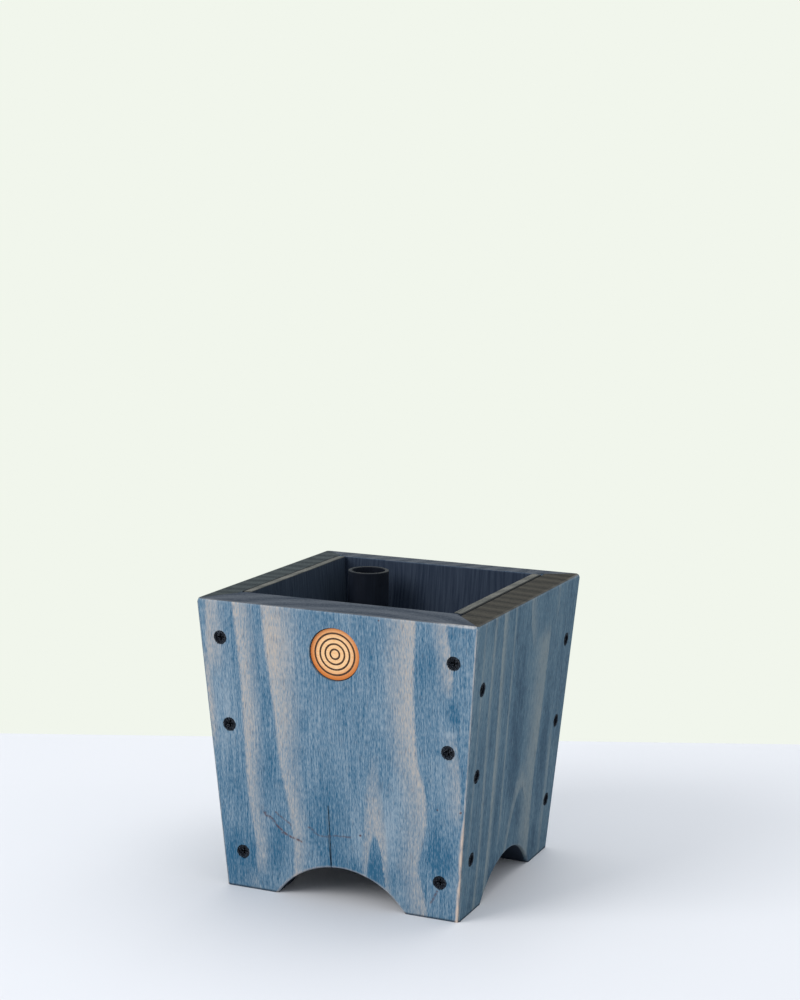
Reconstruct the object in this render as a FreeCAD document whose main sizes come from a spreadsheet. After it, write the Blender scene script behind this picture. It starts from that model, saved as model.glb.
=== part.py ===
# A tapered square planter of stained pine boards, mitred and screwed at the corners.
# An arch in the foot of each board leaves four corner feet. A floor on cleats carries
# a water tray, a soil shelf with a wick basket, and an upright tube for filling the tray.
# Millimetres, +Z up, +X to the right, -Y to the front. The origin is on the ground,
# under the middle of the planter.
import FreeCAD
import Part
import Sketcher
import math
import os

# Every size that can be set by itself.
SIZES = [
    # case of four boards that lean outwards
    ("top_width", 184),
    ("base_width", 155.4),
    ("case_height", 183.6),
    ("front_thickness", 23),
    ("side_thickness", 19),
    ("edge_ease", 1.1),
    ("arris_ease", 1.2),
    ("corner_ease", 3.6),
    # arch in the foot of each board
    ("arch_width", 85),
    ("arch_rise", 22.4),
    # drying split that runs up from the arch of the front board
    ("split_offset", 5.5),
    ("split_drift", 2.6),
    ("split_length", 36.5),
    ("split_width", 0.8),
    ("split_depth", 11),
    # screws through the boards at the corners, heights from the ground or below the rim
    ("screw_edge_distance", 13.8),
    ("front_screw_low", 23.6),
    ("front_screw_middle", 105.6),
    ("front_screw_drop", 23.3),
    ("side_screw_low", 36.2),
    ("side_screw_middle", 88.9),
    ("side_screw_drop", 40.8),
    ("corner_screw_length", 41),
    ("corner_screw_sink", 1.3),
    # shape that all the screws share
    ("short_screw_length", 25),
    ("short_screw_sink", 0.4),
    ("screw_head_width", 7.2),
    ("screw_head_depth", 2.6),
    ("screw_shank_width", 3.5),
    ("screw_point_length", 5),
    ("screw_play", 0.12),
    ("screw_mouth_flare", 0.6),
    ("drive_width", 4.4),
    ("drive_bar", 1.1),
    ("drive_depth", 1.7),
    # round badge let into the front board
    ("badge_width", 32.6),
    ("badge_thickness", 3),
    ("badge_play", 0.25),
    ("badge_sink", 1.3),
    ("badge_drop", 26.2),
    ("badge_edge_ease", 0.4),
    ("badge_line_first", 2.4),
    ("badge_line_pitch", 3.3),
    ("badge_line_width", 1.2),
    ("badge_line_depth", 0.5),
    # thin boards that line the left and right sides
    ("lining_thickness", 6),
    ("lining_end_gap", 1.4),
    ("lining_ease", 0.5),
    # cleats and floor
    ("cleat_base", 24.5),
    ("cleat_height", 15),
    ("cleat_width", 15),
    ("cleat_end_gap", 0.5),
    ("cleat_screw_share", 0.8),
    ("floor_thickness", 12),
    ("floor_edge_gap", 0.6),
    ("floor_screw_share", 0.53),
    ("drain_width", 9),
    ("drain_share", 0.49),
    # water tray
    ("tray_height", 42),
    ("tray_wall", 2),
    ("tray_edge_gap", 1.2),
    ("tray_corner", 10),
    ("overflow_width", 6),
    ("overflow_height", 30),
    # soil shelf on legs
    ("shelf_thickness", 3),
    ("shelf_edge_gap", 0.7),
    ("shelf_leg_width", 8),
    ("shelf_leg_inset", 8),
    ("shelf_notch_gap", 0.8),
    ("shelf_hole_width", 5),
    ("shelf_hole_pitch", 11),
    # wick basket that hangs in the shelf
    ("basket_width", 32),
    ("basket_wall", 2),
    ("basket_flange", 4),
    ("basket_play", 0.4),
    ("basket_floor_gap", 0.6),
    ("basket_slot_width", 4),
    ("basket_slot_spread", 7),
    ("basket_slot_margin", 5),
    # filling tube
    ("tube_width", 26.7),
    ("tube_wall", 2.4),
    ("tube_side_gap", 2.6),
    ("tube_back_gap", 0.5),
    ("tube_rim_drop", 0.5),
    ("tube_notch_width", 9),
    ("tube_notch_height", 8),
    ("tube_ease", 0.5),
    # how far a cutting shape reaches past the face that it cuts
    ("overrun", 1),
]

# Values worked out from the sizes. Half widths are measured from the middle of the planter.
WORKED = [
    ("lean", "atan((sizes.top_width - sizes.base_width) / 2 / sizes.case_height)"),
    ("slope", "(sizes.top_width - sizes.base_width) / 2 / sizes.case_height"),
    ("board_length", "sizes.case_height / cos(lean)"),
    ("front_wall", "sizes.front_thickness / cos(lean)"),
    ("side_wall", "sizes.side_thickness / cos(lean)"),
    ("lining_wall", "sizes.lining_thickness / cos(lean)"),
    ("mitre_step", "sizes.front_thickness * cos(lean)"),
    ("thickest", "max(sizes.front_thickness; sizes.side_thickness)"),
    ("foot_step", "thickest * tan(lean)"),
    ("arch_radius", "(sizes.arch_width ^ 2 / 4 + sizes.arch_rise ^ 2) / (2 * sizes.arch_rise)"),
    ("badge_height", "(sizes.case_height - sizes.badge_drop) / cos(lean)"),
    ("cleat_top", "sizes.cleat_base + sizes.cleat_height"),
    ("front_cleat_back", "sizes.base_width / 2 + slope * sizes.cleat_base - front_wall"),
    ("front_cleat_brow", "sizes.base_width / 2 + slope * cleat_top - front_wall"),
    ("front_cleat_face", "front_cleat_back - sizes.cleat_width"),
    ("side_cleat_back", "sizes.base_width / 2 + slope * sizes.cleat_base - side_wall"),
    ("side_cleat_brow", "sizes.base_width / 2 + slope * cleat_top - side_wall"),
    ("side_cleat_face", "side_cleat_back - sizes.cleat_width"),
    ("cleat_half", "front_cleat_face - sizes.cleat_end_gap"),
    ("cleat_screw_spread", "sizes.cleat_screw_share * cleat_half"),
    ("floor_screw_spread", "sizes.floor_screw_share * cleat_half"),
    ("floor_half_x", "side_cleat_brow - sizes.floor_edge_gap"),
    ("floor_half_y", "front_cleat_brow - sizes.floor_edge_gap"),
    ("drain_spread", "sizes.drain_share * floor_half_y"),
    ("floor_top", "cleat_top + sizes.floor_thickness"),
    ("lining_base", "(floor_top - sizes.side_thickness * sin(lean)) / cos(lean)"),
    ("inside_half", "sizes.base_width / 2 + slope * floor_top - sizes.tray_edge_gap"),
    ("tray_half_x", "inside_half - side_wall - lining_wall"),
    ("tray_half_y", "inside_half - front_wall"),
    ("tray_spread", "slope * sizes.tray_height"),
    ("tray_floor", "floor_top + sizes.tray_wall"),
    ("tray_top", "floor_top + sizes.tray_height"),
    ("tray_inner_x", "tray_half_x - sizes.tray_wall + slope * sizes.tray_wall"),
    ("tray_inner_y", "tray_half_y - sizes.tray_wall + slope * sizes.tray_wall"),
    ("shelf_base", "tray_top - sizes.shelf_thickness"),
    ("shelf_half_x", "tray_inner_x + slope * (shelf_base - tray_floor) - sizes.shelf_edge_gap"),
    ("shelf_half_y", "tray_inner_y + slope * (shelf_base - tray_floor) - sizes.shelf_edge_gap"),
    ("tube_x", "-(tray_inner_x - sizes.tube_side_gap - sizes.tube_width / 2)"),
    ("tube_y", "tray_inner_y - sizes.tube_back_gap - sizes.tube_width / 2"),
    ("tube_length", "sizes.case_height - sizes.tube_rim_drop - tray_floor"),
    ("notch_x", "tube_x + sizes.tube_width / 2 + sizes.shelf_notch_gap"),
    ("notch_y", "tube_y - sizes.tube_width / 2 - sizes.shelf_notch_gap"),
    ("leg_x", "tray_inner_x - sizes.shelf_leg_inset"),
    ("leg_y", "tray_inner_y - sizes.shelf_leg_inset"),
    ("leg_notch_x", "notch_x + sizes.shelf_leg_width / 2"),
    ("basket_base", "tray_floor + sizes.basket_floor_gap"),
    ("basket_hole", "sizes.basket_width + 2 * sizes.basket_play"),
    ("basket_rim", "sizes.basket_width + 2 * sizes.basket_flange"),
]

# Sides of the case, each a quarter turn about the upright axis from the one before.
SIDES = ["front", "right", "back", "left"]
TURNS = {side: index * 360 / len(SIDES) for index, side in enumerate(SIDES)}

# Front and back are alike, and so are the two sides.
KINDS = {"front": "front", "back": "front", "right": "side", "left": "side"}

# Heights of the corner screws of each kind of board.
FRONT_SCREWS = ["sizes.front_screw_low", "sizes.front_screw_middle",
                "sizes.case_height - sizes.front_screw_drop"]
SIDE_SCREWS = ["sizes.side_screw_low", "sizes.side_screw_middle",
               "sizes.case_height - sizes.side_screw_drop"]
SCREW_HEIGHTS = {"front": FRONT_SCREWS, "side": SIDE_SCREWS}

doc = FreeCAD.newDocument("planter")


def fill_sheet(name, rows, prefix):
    sheet = doc.addObject("Spreadsheet::Sheet", name)
    for row, (alias, content) in enumerate(rows, 1):
        sheet.set(f"A{row}", alias)
        sheet.setAlias(f"B{row}", alias)
        sheet.set(f"B{row}", prefix + str(content))
    doc.recompute()
    return sheet


sizes = fill_sheet("sizes", SIZES, "")
worked = fill_sheet("worked", WORKED, "=")


def number(expression):
    """The present value of an expression in millimetres or degrees."""
    result = sizes.evalExpression(expression)
    return getattr(result, "Value", result)


def new_body(name):
    """A body that has to stay one solid."""
    body = doc.addObject("PartDesign::Body", name)
    body.AllowCompound = False
    return body


def new_sketch(body, name, plane="XY_Plane", offset=None):
    """A sketch on one of the body's own origin planes, moved along its normal by an expression."""
    sketch = body.newObject("Sketcher::SketchObject", name)
    support = [feature for feature in body.Origin.OriginFeatures if feature.Role == plane]
    sketch.AttachmentSupport = [(support[0], "")]
    sketch.MapMode = "FlatFace"
    if offset:
        sketch.setExpression("AttachmentOffset.Base.z", offset)
    return sketch


def pin(sketch, curve, end, x, y):
    """Ties one point of a curve to a pair of expressions."""
    for kind, expression in (("DistanceX", x), ("DistanceY", y)):
        constraint = Sketcher.Constraint(kind, -1, 1, curve, end, number(expression))
        sketch.setExpression(f"Constraints[{sketch.addConstraint(constraint)}]", expression)


def draw_polygon(sketch, points):
    places = [FreeCAD.Vector(number(x), number(y), 0) for x, y in points]
    lines = []
    for start, end in zip(places, places[1:] + places[:1]):
        lines.append(sketch.addGeometry(Part.LineSegment(start, end)))
    for line, following in zip(lines, lines[1:] + lines[:1]):
        sketch.addConstraint(Sketcher.Constraint("Coincident", line, 2, following, 1))
    for line, (x, y) in zip(lines, points):
        pin(sketch, line, 1, x, y)


def draw_rectangle(sketch, left, front, right, back):
    draw_polygon(sketch, [(left, front), (right, front), (right, back), (left, back)])


def draw_centred(sketch, half_x, half_y):
    draw_rectangle(sketch, f"-({half_x})", f"-({half_y})", half_x, half_y)


def draw_rounded(sketch, half_x, half_y, corner):
    """A centred rectangle with round corners, drawn anticlockwise from its front side."""
    flat_x, flat_y = f"({half_x} - ({corner}))", f"({half_y} - ({corner}))"
    sides = [((f"-{flat_x}", f"-({half_y})"), (flat_x, f"-({half_y})")),
             ((half_x, f"-{flat_y}"), (half_x, flat_y)),
             ((flat_x, half_y), (f"-{flat_x}", half_y)),
             ((f"-({half_x})", flat_y), (f"-({half_x})", f"-{flat_y}"))]
    lines = []
    for start, end in sides:
        points = [FreeCAD.Vector(number(x), number(y), 0) for x, y in (start, end)]
        line = sketch.addGeometry(Part.LineSegment(*points))
        pin(sketch, line, 1, *start)
        pin(sketch, line, 2, *end)
        lines.append(line)
    middle = number(flat_x), number(flat_y)
    hands = [(1, -1), (1, 1), (-1, 1), (-1, -1)]
    for turn, (line, following) in enumerate(zip(lines, lines[1:] + lines[:1])):
        centre = FreeCAD.Vector(hands[turn][0] * middle[0], hands[turn][1] * middle[1], 0)
        circle = Part.Circle(centre, FreeCAD.Vector(0, 0, 1), number(corner))
        start = math.radians(90 * (turn - 1))
        arc = sketch.addGeometry(Part.ArcOfCircle(circle, start, start + math.radians(90)))
        sketch.addConstraint(Sketcher.Constraint("Coincident", line, 2, arc, 1))
        sketch.addConstraint(Sketcher.Constraint("Coincident", arc, 2, following, 1))
        radius = Sketcher.Constraint("Radius", arc, number(corner))
        sketch.setExpression(f"Constraints[{sketch.addConstraint(radius)}]", corner)


def draw_circle(sketch, x, y, width):
    centre = FreeCAD.Vector(number(x), number(y), 0)
    circle = sketch.addGeometry(Part.Circle(centre, FreeCAD.Vector(0, 0, 1), number(width) / 2))
    pin(sketch, circle, 3, x, y)
    constraint = Sketcher.Constraint("Diameter", circle, number(width))
    sketch.setExpression(f"Constraints[{sketch.addConstraint(constraint)}]", width)


def draw_arch(sketch):
    """The arch as one arc, carried on below the foot of the board and closed by its chord."""
    below, radius = "(worked.foot_step + sizes.overrun)", "worked.arch_radius"
    half = f"sqrt({radius} ^ 2 - ({radius} - sizes.arch_rise - {below}) ^ 2)"
    right, left = (half, f"-{below}"), (f"-{half}", f"-{below}")
    places = [FreeCAD.Vector(number(x), number(y), 0) for x, y in (right, left)]
    crown = FreeCAD.Vector(0, number("sizes.arch_rise"), 0)
    arc = sketch.addGeometry(Part.Arc(places[0], crown, places[1]))
    chord = sketch.addGeometry(Part.LineSegment(places[1], places[0]))
    sketch.addConstraint(Sketcher.Constraint("Coincident", arc, 2, chord, 1))
    sketch.addConstraint(Sketcher.Constraint("Coincident", chord, 2, arc, 1))
    pin(sketch, arc, 1, *right)
    pin(sketch, arc, 2, *left)
    constraint = Sketcher.Constraint("Radius", arc, number(radius))
    sketch.setExpression(f"Constraints[{sketch.addConstraint(constraint)}]", radius)


def add_pad(body, name, sketch, length, symmetric=False):
    pad = body.newObject("PartDesign::Pad", name)
    pad.Profile = sketch
    pad.setExpression("Length", length)
    if symmetric:
        pad.SideType = "Symmetric"
    return pad


def add_pocket(body, name, sketch, length=None, symmetric=False, turned=False, along=None):
    """A pocket into the face that the sketch lies on, or right through where no length is given."""
    doc.recompute()
    before = body.Shape.Volume
    pocket = body.newObject("PartDesign::Pocket", name)
    pocket.Profile = sketch
    pocket.Reversed = turned
    if symmetric:
        pocket.SideType = "Symmetric"
    if length:
        pocket.setExpression("Length", length)
    else:
        pocket.Type = "ThroughAll"
    if along:
        pocket.UseCustomVector = True
        pocket.setExpression("Direction", along)
    doc.recompute()
    if not body.Shape.Volume < before:
        raise RuntimeError(f"{body.Name}: {name} cuts nothing")
    return pocket


def edges_at(feature, *tests):
    """Names of the edges whose two ends pass one of the tests."""
    names = []
    for index, edge in enumerate(feature.Shape.Edges, 1):
        ends = [vertex.Point for vertex in edge.Vertexes]
        if any(all(test(point) for point in ends) for test in tests):
            names.append(f"Edge{index}")
    return names


def add_fillet(body, name, feature, edges, radius):
    fillet = body.newObject("PartDesign::Fillet", name)
    fillet.Base = (feature, edges)
    fillet.setExpression("Radius", radius)
    doc.recompute()
    return fillet


def near(value, target):
    return abs(value - target) < number("sizes.overrun") / 100


def place(item, position, turn):
    """Placement from three expressions for the position and three angles: yaw, pitch and roll."""
    x, y, z = position
    yaw, pitch, roll = turn
    item.setExpression("Placement", f"placement(vector({x}; {y}; {z}); rotation({yaw}; {pitch}; {roll}))")


def place_on(item, carrier, x, y, z):
    """Placement at a point of the carrier's own frame, turned as the carrier is."""
    shift = f"placement(vector({x}; {y}; {z}); rotation(0; 0; 0))"
    item.setExpression("Placement", f"{carrier.Name}.Placement * {shift}")


def cut(name, base, tools):
    result = doc.addObject("Part::Cut", name)
    drill = doc.addObject("Part::Compound", f"{name}_drilling")
    drill.Links = tools
    result.Base = base
    result.Tool = drill
    return result


# Boards. Each one is drawn in its own frame: X across, Y up the board, Z out of its outer face.
def add_mitre(board, side, hand):
    """Cuts one upright edge at the slant that meets the next board, and takes off its sharp arris."""
    below, sign = "(worked.foot_step + sizes.overrun)", MITRE_SIGNS[hand]
    section = new_sketch(board, f"{side}_mitre_{hand}_section", "XZ_Plane", offset=below)
    edge = f"sizes.base_width / 2 - sin(worked.lean) * {below}"
    inner = "(worked.thickest + sizes.overrun)"
    ease_depth = "sizes.arris_ease / sqrt(1 + cos(worked.lean) ^ 2)"
    outside = f"{sign} * ({edge} + 2 * sizes.overrun)"
    eased = f"{sign} * ({edge} - sizes.arris_ease)"
    turned = f"{sign} * ({edge} - cos(worked.lean) * {ease_depth})"
    inside = f"{sign} * ({edge} - cos(worked.lean) * {inner})"
    draw_polygon(section, [(outside, "sizes.overrun"), (eased, "sizes.overrun"), (eased, "0"),
                           (turned, f"-{ease_depth}"), (inside, f"-{inner}"), (outside, f"-{inner}")])
    along = f"vector({sign} * sin(worked.lean); 1; 0)"
    return add_pocket(board, f"{side}_mitre_{hand}", section, along=along)


def add_corner(board, side, hand):
    """Takes off the sharp point at the top of an upright edge, alike on both of the boards that meet."""
    sign = MITRE_SIGNS[hand]
    outline = new_sketch(board, f"{side}_corner_{hand}_outline")
    edge, top = "sizes.top_width / 2", "worked.board_length"
    reach = "(sizes.corner_ease + sizes.overrun)"
    draw_polygon(outline, [(f"{sign} * ({edge} + sizes.overrun)", f"{top} - {reach}"),
                           (f"{sign} * ({edge} + sizes.overrun)", f"{top} + sizes.overrun"),
                           (f"{sign} * ({edge} - {reach})", f"{top} + sizes.overrun")])
    return add_pocket(board, f"{side}_corner_{hand}", outline, along=f"vector({sign}; 1; -2)")


MITRE_SIGNS = {"left": "-1", "right": "1"}


def make_board(side, turn):
    board = new_body(f"{side}_board")
    thickness = f"sizes.{KINDS[side]}_thickness"
    outline = new_sketch(board, f"{side}_outline")
    low = "(sizes.base_width / 2 - sin(worked.lean) * worked.foot_step + sizes.overrun)"
    high = "(sizes.top_width / 2 + sizes.overrun)"
    draw_polygon(outline, [(f"-{low}", "-worked.foot_step"), (low, "-worked.foot_step"),
                           (high, "worked.board_length"), (f"-{high}", "worked.board_length")])
    blank = add_pad(board, f"{side}_blank", outline, thickness)
    blank.Reversed = True
    level = new_sketch(board, f"{side}_level_section", "YZ_Plane")
    inner = "(worked.thickest + sizes.overrun)"
    draw_polygon(level, [("tan(worked.lean) * sizes.overrun", "sizes.overrun"),
                         (f"-tan(worked.lean) * {inner}", f"-{inner}"),
                         (f"-tan(worked.lean) * {inner}", "sizes.overrun")])
    add_pocket(board, f"{side}_level_foot", level, symmetric=True)
    arch = new_sketch(board, f"{side}_arch_outline")
    draw_arch(arch)
    opening = add_pocket(board, f"{side}_arch", arch)

    length, inner_face = number("worked.board_length"), -number(thickness)
    half = number("sizes.arch_width") / 2
    rim = edges_at(opening, lambda p: near(p.y, length) and near(p.z, 0),
                   lambda p: near(p.y, length) and near(p.z, inner_face))
    curve = [name for name in edges_at(opening, lambda p: near(p.z, 0) and near(abs(p.x), half))
             if opening.Shape.getElement(name).Curve.TypeId == "Part::GeomCircle"]
    add_fillet(board, f"{side}_ease", opening, rim + curve, "sizes.edge_ease")
    for hand in MITRE_SIGNS:
        add_mitre(board, side, hand)
        add_corner(board, side, hand)

    outward = "sizes.base_width / 2"
    place(board, (f"{outward} * sin({turn} deg)", f"-{outward} * cos({turn} deg)", "0"),
          (f"{turn} deg", "0 deg", "90 deg + worked.lean"))
    return board


def add_badge_recess(board):
    outline = new_sketch(board, "badge_recess_outline")
    draw_circle(outline, "0", "worked.badge_height", "sizes.badge_width + 2 * sizes.badge_play")
    add_pocket(board, "badge_recess", outline, "sizes.badge_sink + sizes.badge_thickness")


def add_split(board):
    """A narrow wedge that starts inside the arch and follows the grain."""
    outline = new_sketch(board, "split_outline")
    foot = "(sizes.arch_rise - sizes.overrun)"
    start = "(-sizes.split_offset)"
    half = "sizes.split_width / 2"
    tip = ("-(sizes.split_offset + sizes.split_drift)", "sizes.arch_rise + sizes.split_length")
    draw_polygon(outline, [(f"{start} - {half}", foot), (f"{start} + {half}", foot), tip])
    add_pocket(board, "split", outline, "sizes.split_depth")


boards = {side: make_board(side, turn) for side, turn in TURNS.items()}
add_badge_recess(boards["front"])
add_split(boards["front"])


# Screws. Each kind is drawn once, head up with its top at the origin, beside the hole that it needs.
def make_screw(name, length):
    screw = new_body(name)
    profile = new_sketch(screw, f"{name}_profile", "XZ_Plane")
    head, shank = "sizes.screw_head_width / 2", "sizes.screw_shank_width / 2"
    draw_polygon(profile, [("0", "0"), (head, "0"), (shank, "-sizes.screw_head_depth"),
                           (shank, f"-({length} - sizes.screw_point_length)"), ("0", f"-{length}")])
    turned = screw.newObject("PartDesign::Revolution", f"{name}_turned")
    turned.Profile = profile
    turned.ReferenceAxis = (profile, ["V_Axis"])
    turned.Angle = 360
    drive = new_sketch(screw, f"{name}_drive_outline")
    far, bar = "sizes.drive_width / 2", "sizes.drive_bar / 2"
    arm = [(far, f"-{bar}"), (far, bar), (bar, bar), (bar, far), (f"-{bar}", far), (f"-{bar}", bar)]
    opposite = [(f"-({x})", f"-({y})") for x, y in arm]
    draw_polygon(drive, arm + opposite)
    add_pocket(screw, f"{name}_drive", drive, "sizes.drive_depth")
    return screw


def make_drill(name, length, sink):
    drill = new_body(name)
    profile = new_sketch(drill, f"{name}_profile", "XZ_Plane")
    seat = "sizes.screw_head_width / 2 + sizes.screw_play"
    mouth = f"{seat} + sizes.screw_mouth_flare"
    bore = "sizes.screw_shank_width / 2 + sizes.screw_play"
    top, end = f"{sink} + sizes.overrun", f"-({length} + sizes.screw_play)"
    draw_polygon(profile, [("0", top), (mouth, top), (mouth, sink), (seat, "0"),
                           (bore, "-sizes.screw_head_depth"), (bore, end), ("0", end)])
    turned = drill.newObject("PartDesign::Revolution", f"{name}_turned")
    turned.Profile = profile
    turned.ReferenceAxis = (profile, ["V_Axis"])
    turned.Angle = 360
    return drill


corner_screw = make_screw("corner_screw", "sizes.corner_screw_length")
corner_drill = make_drill("corner_drill", "sizes.corner_screw_length", "sizes.corner_screw_sink")
short_screw = make_screw("short_screw", "sizes.short_screw_length")
short_drill = make_drill("short_drill", "sizes.short_screw_length", "sizes.short_screw_sink")


def copy_of(original, name):
    link = doc.addObject("App::Link", name)
    link.LinkedObject = original
    return link


def group(name, members):
    together = doc.addObject("Part::Compound", name)
    together.Links = members
    return together


def corner_places(original, side, name):
    """Six copies of a screw or its hole, three near each upright edge of a board."""
    copies = []
    for hand in ("-1", "1"):
        for height in SCREW_HEIGHTS[KINDS[side]]:
            copy = copy_of(original, f"{side}_{name}_{len(copies) + 1}")
            along = f"({height}) / cos(worked.lean)"
            across = f"sizes.base_width / 2 + worked.slope * ({height}) - sizes.screw_edge_distance"
            place_on(copy, boards[side], f"{hand} * ({across})", along, "-sizes.corner_screw_sink")
            copies.append(copy)
    return copies


corner_holes = {side: corner_places(corner_drill, side, "hole") for side in SIDES}
nodes = [group(f"{side}_screws", corner_places(corner_screw, side, "screw")) for side in SIDES]


# Cleats with a bevelled back that fits the leaning board. Front and back ones run right across.
def make_cleat(side, turn, half_length):
    cleat = new_body(f"{side}_cleat_stick")
    back, face = f"worked.{KINDS[side]}_cleat_back", f"worked.{KINDS[side]}_cleat_face"
    section = new_sketch(cleat, f"{side}_cleat_section", "YZ_Plane")
    draw_polygon(section, [(f"-{back}", "sizes.cleat_base"), (f"-{face}", "sizes.cleat_base"),
                           (f"-{face}", "worked.cleat_top"),
                           (f"-worked.{KINDS[side]}_cleat_brow", "worked.cleat_top")])
    add_pad(cleat, f"{side}_cleat_run", section, f"2 * ({half_length})", symmetric=True)
    place(cleat, ("0", "0", "0"), (f"{turn} deg", "0 deg", "0 deg"))
    return cleat


CLEAT_HALVES = {"front": "worked.side_cleat_back - sizes.cleat_end_gap", "side": "worked.cleat_half"}
cleats = {side: make_cleat(side, turn, CLEAT_HALVES[KINDS[side]]) for side, turn in TURNS.items()}


def cleat_places(original, side, turn, name):
    """Two copies that lie level and point out through a cleat into its board."""
    copies = []
    for hand in ("-1", "1"):
        copy = copy_of(original, f"{side}_{name}_{len(copies) + 1}")
        along = f"{hand} * worked.cleat_screw_spread"
        inward = f"(worked.{KINDS[side]}_cleat_face + sizes.short_screw_sink)"
        x = f"{along} * cos({turn} deg) + {inward} * sin({turn} deg)"
        y = f"{along} * sin({turn} deg) - {inward} * cos({turn} deg)"
        height = "sizes.cleat_base + sizes.cleat_height / 2"
        place(copy, (x, y, height), (f"{turn} deg", "0 deg", "-90 deg"))
        copies.append(copy)
    return copies


cleat_holes = {side: cleat_places(short_drill, side, turn, "cleat_hole") for side, turn in TURNS.items()}
cleat_screws = []
for side, turn in TURNS.items():
    cleat_screws += cleat_places(short_screw, side, turn, "cleat_screw")
nodes.append(group("cleat_screws", cleat_screws))


# Floor board on the cleats, with drain holes, screwed down into the left and right cleats.
def make_floor():
    floor = new_body("floor_blank")
    outline = new_sketch(floor, "floor_outline", offset="worked.cleat_top")
    draw_centred(outline, "worked.floor_half_x", "worked.floor_half_y")
    add_pad(floor, "floor_slab", outline, "sizes.floor_thickness")
    drains = new_sketch(floor, "drain_outline", offset="worked.floor_top")
    draw_circle(drains, "0", "0", "sizes.drain_width")
    for x in ("-worked.drain_spread", "worked.drain_spread"):
        for y in ("-worked.drain_spread", "worked.drain_spread"):
            draw_circle(drains, x, y, "sizes.drain_width")
    add_pocket(floor, "drains", drains)
    return floor


def floor_places(original, name):
    copies = {"left": [], "right": []}
    for side, hand in (("left", "-1"), ("right", "1")):
        for end in ("-1", "1"):
            copy = copy_of(original, f"{side}_{name}_{len(copies[side]) + 1}")
            x = f"{hand} * (worked.side_cleat_face + sizes.cleat_width / 2)"
            height = "worked.floor_top - sizes.short_screw_sink"
            place(copy, (x, f"{end} * worked.floor_screw_spread", height), ("0 deg", "0 deg", "0 deg"))
            copies[side].append(copy)
    return copies


floor_holes = floor_places(short_drill, "floor_hole")
floor_screws = floor_places(short_screw, "floor_screw")
nodes.append(group("floor_screws", floor_screws["left"] + floor_screws["right"]))
nodes.append(cut("floor_board", make_floor(), floor_holes["left"] + floor_holes["right"]))
for side in SIDES:
    nodes.append(cut(f"{side}_cleat", cleats[side], cleat_holes[side] + floor_holes.get(side, [])))

# Panels: each board is bored for its own screws, its neighbours' screws and its cleat's screws.
NEIGHBOURS = {"front": ("left", "right"), "back": ("left", "right"),
              "left": ("front", "back"), "right": ("front", "back")}
for side in SIDES:
    holes = corner_holes[side] + cleat_holes[side]
    for neighbour in NEIGHBOURS[side]:
        holes = holes + corner_holes[neighbour]
    nodes.append(cut(f"{side}_panel", boards[side], holes))


# Linings that stand on the floor against the left and right boards.
def make_lining(side):
    lining = new_body(f"{side}_lining")
    inner_face = "-(sizes.side_thickness + sizes.lining_thickness)"
    outline = new_sketch(lining, f"{side}_lining_outline", offset=inner_face)
    middle = "sizes.base_width / 2 - worked.mitre_step - sizes.lining_end_gap"
    low = f"({middle} + sin(worked.lean) * worked.lining_base)"
    high = f"({middle} + sin(worked.lean) * worked.board_length)"
    draw_polygon(outline, [(f"-{low}", "worked.lining_base"), (low, "worked.lining_base"),
                           (high, "worked.board_length"), (f"-{high}", "worked.board_length")])
    sheet = add_pad(lining, f"{side}_lining_sheet", outline, "sizes.lining_thickness")
    doc.recompute()
    depth, length = number(inner_face), number("worked.board_length")
    brow = edges_at(sheet, lambda p: near(p.y, length) and near(p.z, depth))
    add_fillet(lining, f"{side}_lining_ease", sheet, brow, "sizes.lining_ease")
    lining.setExpression("Placement", f"{boards[side].Name}.Placement")
    return lining


nodes += [make_lining("left"), make_lining("right")]


# Badge with plain rings cut into its face, lying in the recess of the front board.
def make_badge():
    badge = new_body("badge")
    outline = new_sketch(badge, "badge_outline", offset="-sizes.badge_thickness")
    draw_circle(outline, "0", "0", "sizes.badge_width")
    disc = add_pad(badge, "badge_disc", outline, "sizes.badge_thickness")
    doc.recompute()
    edge = edges_at(disc, lambda p: near(p.z, 0))
    add_fillet(badge, "badge_edge", disc, edge, "sizes.badge_edge_ease")
    for ring in range(4):
        lines = new_sketch(badge, f"badge_ring_{ring + 1}_outline")
        inside = f"2 * (sizes.badge_line_first + {ring} * sizes.badge_line_pitch)"
        draw_circle(lines, "0", "0", inside)
        draw_circle(lines, "0", "0", f"{inside} + 2 * sizes.badge_line_width")
        add_pocket(badge, f"badge_ring_{ring + 1}", lines, "sizes.badge_line_depth")
    place_on(badge, boards["front"], "0", "worked.badge_height", "-sizes.badge_sink")
    return badge


nodes.append(make_badge())


# Water tray that fills the floor between the walls and spreads upwards as they do.
def add_loft(body, name, kind, corner, low, high):
    """A loft between two round-cornered rectangles, each given as a height and two half widths."""
    sections = []
    for level, (height, half_x, half_y) in (("foot", low), ("mouth", high)):
        section = new_sketch(body, f"{name}_{level}", offset=height)
        draw_rounded(section, half_x, half_y, corner)
        sections.append(section)
    loft = body.newObject(f"PartDesign::{kind}", name)
    loft.Profile = sections[0]
    loft.Sections = sections[1:]
    loft.Ruled = True
    doc.recompute()


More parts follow.
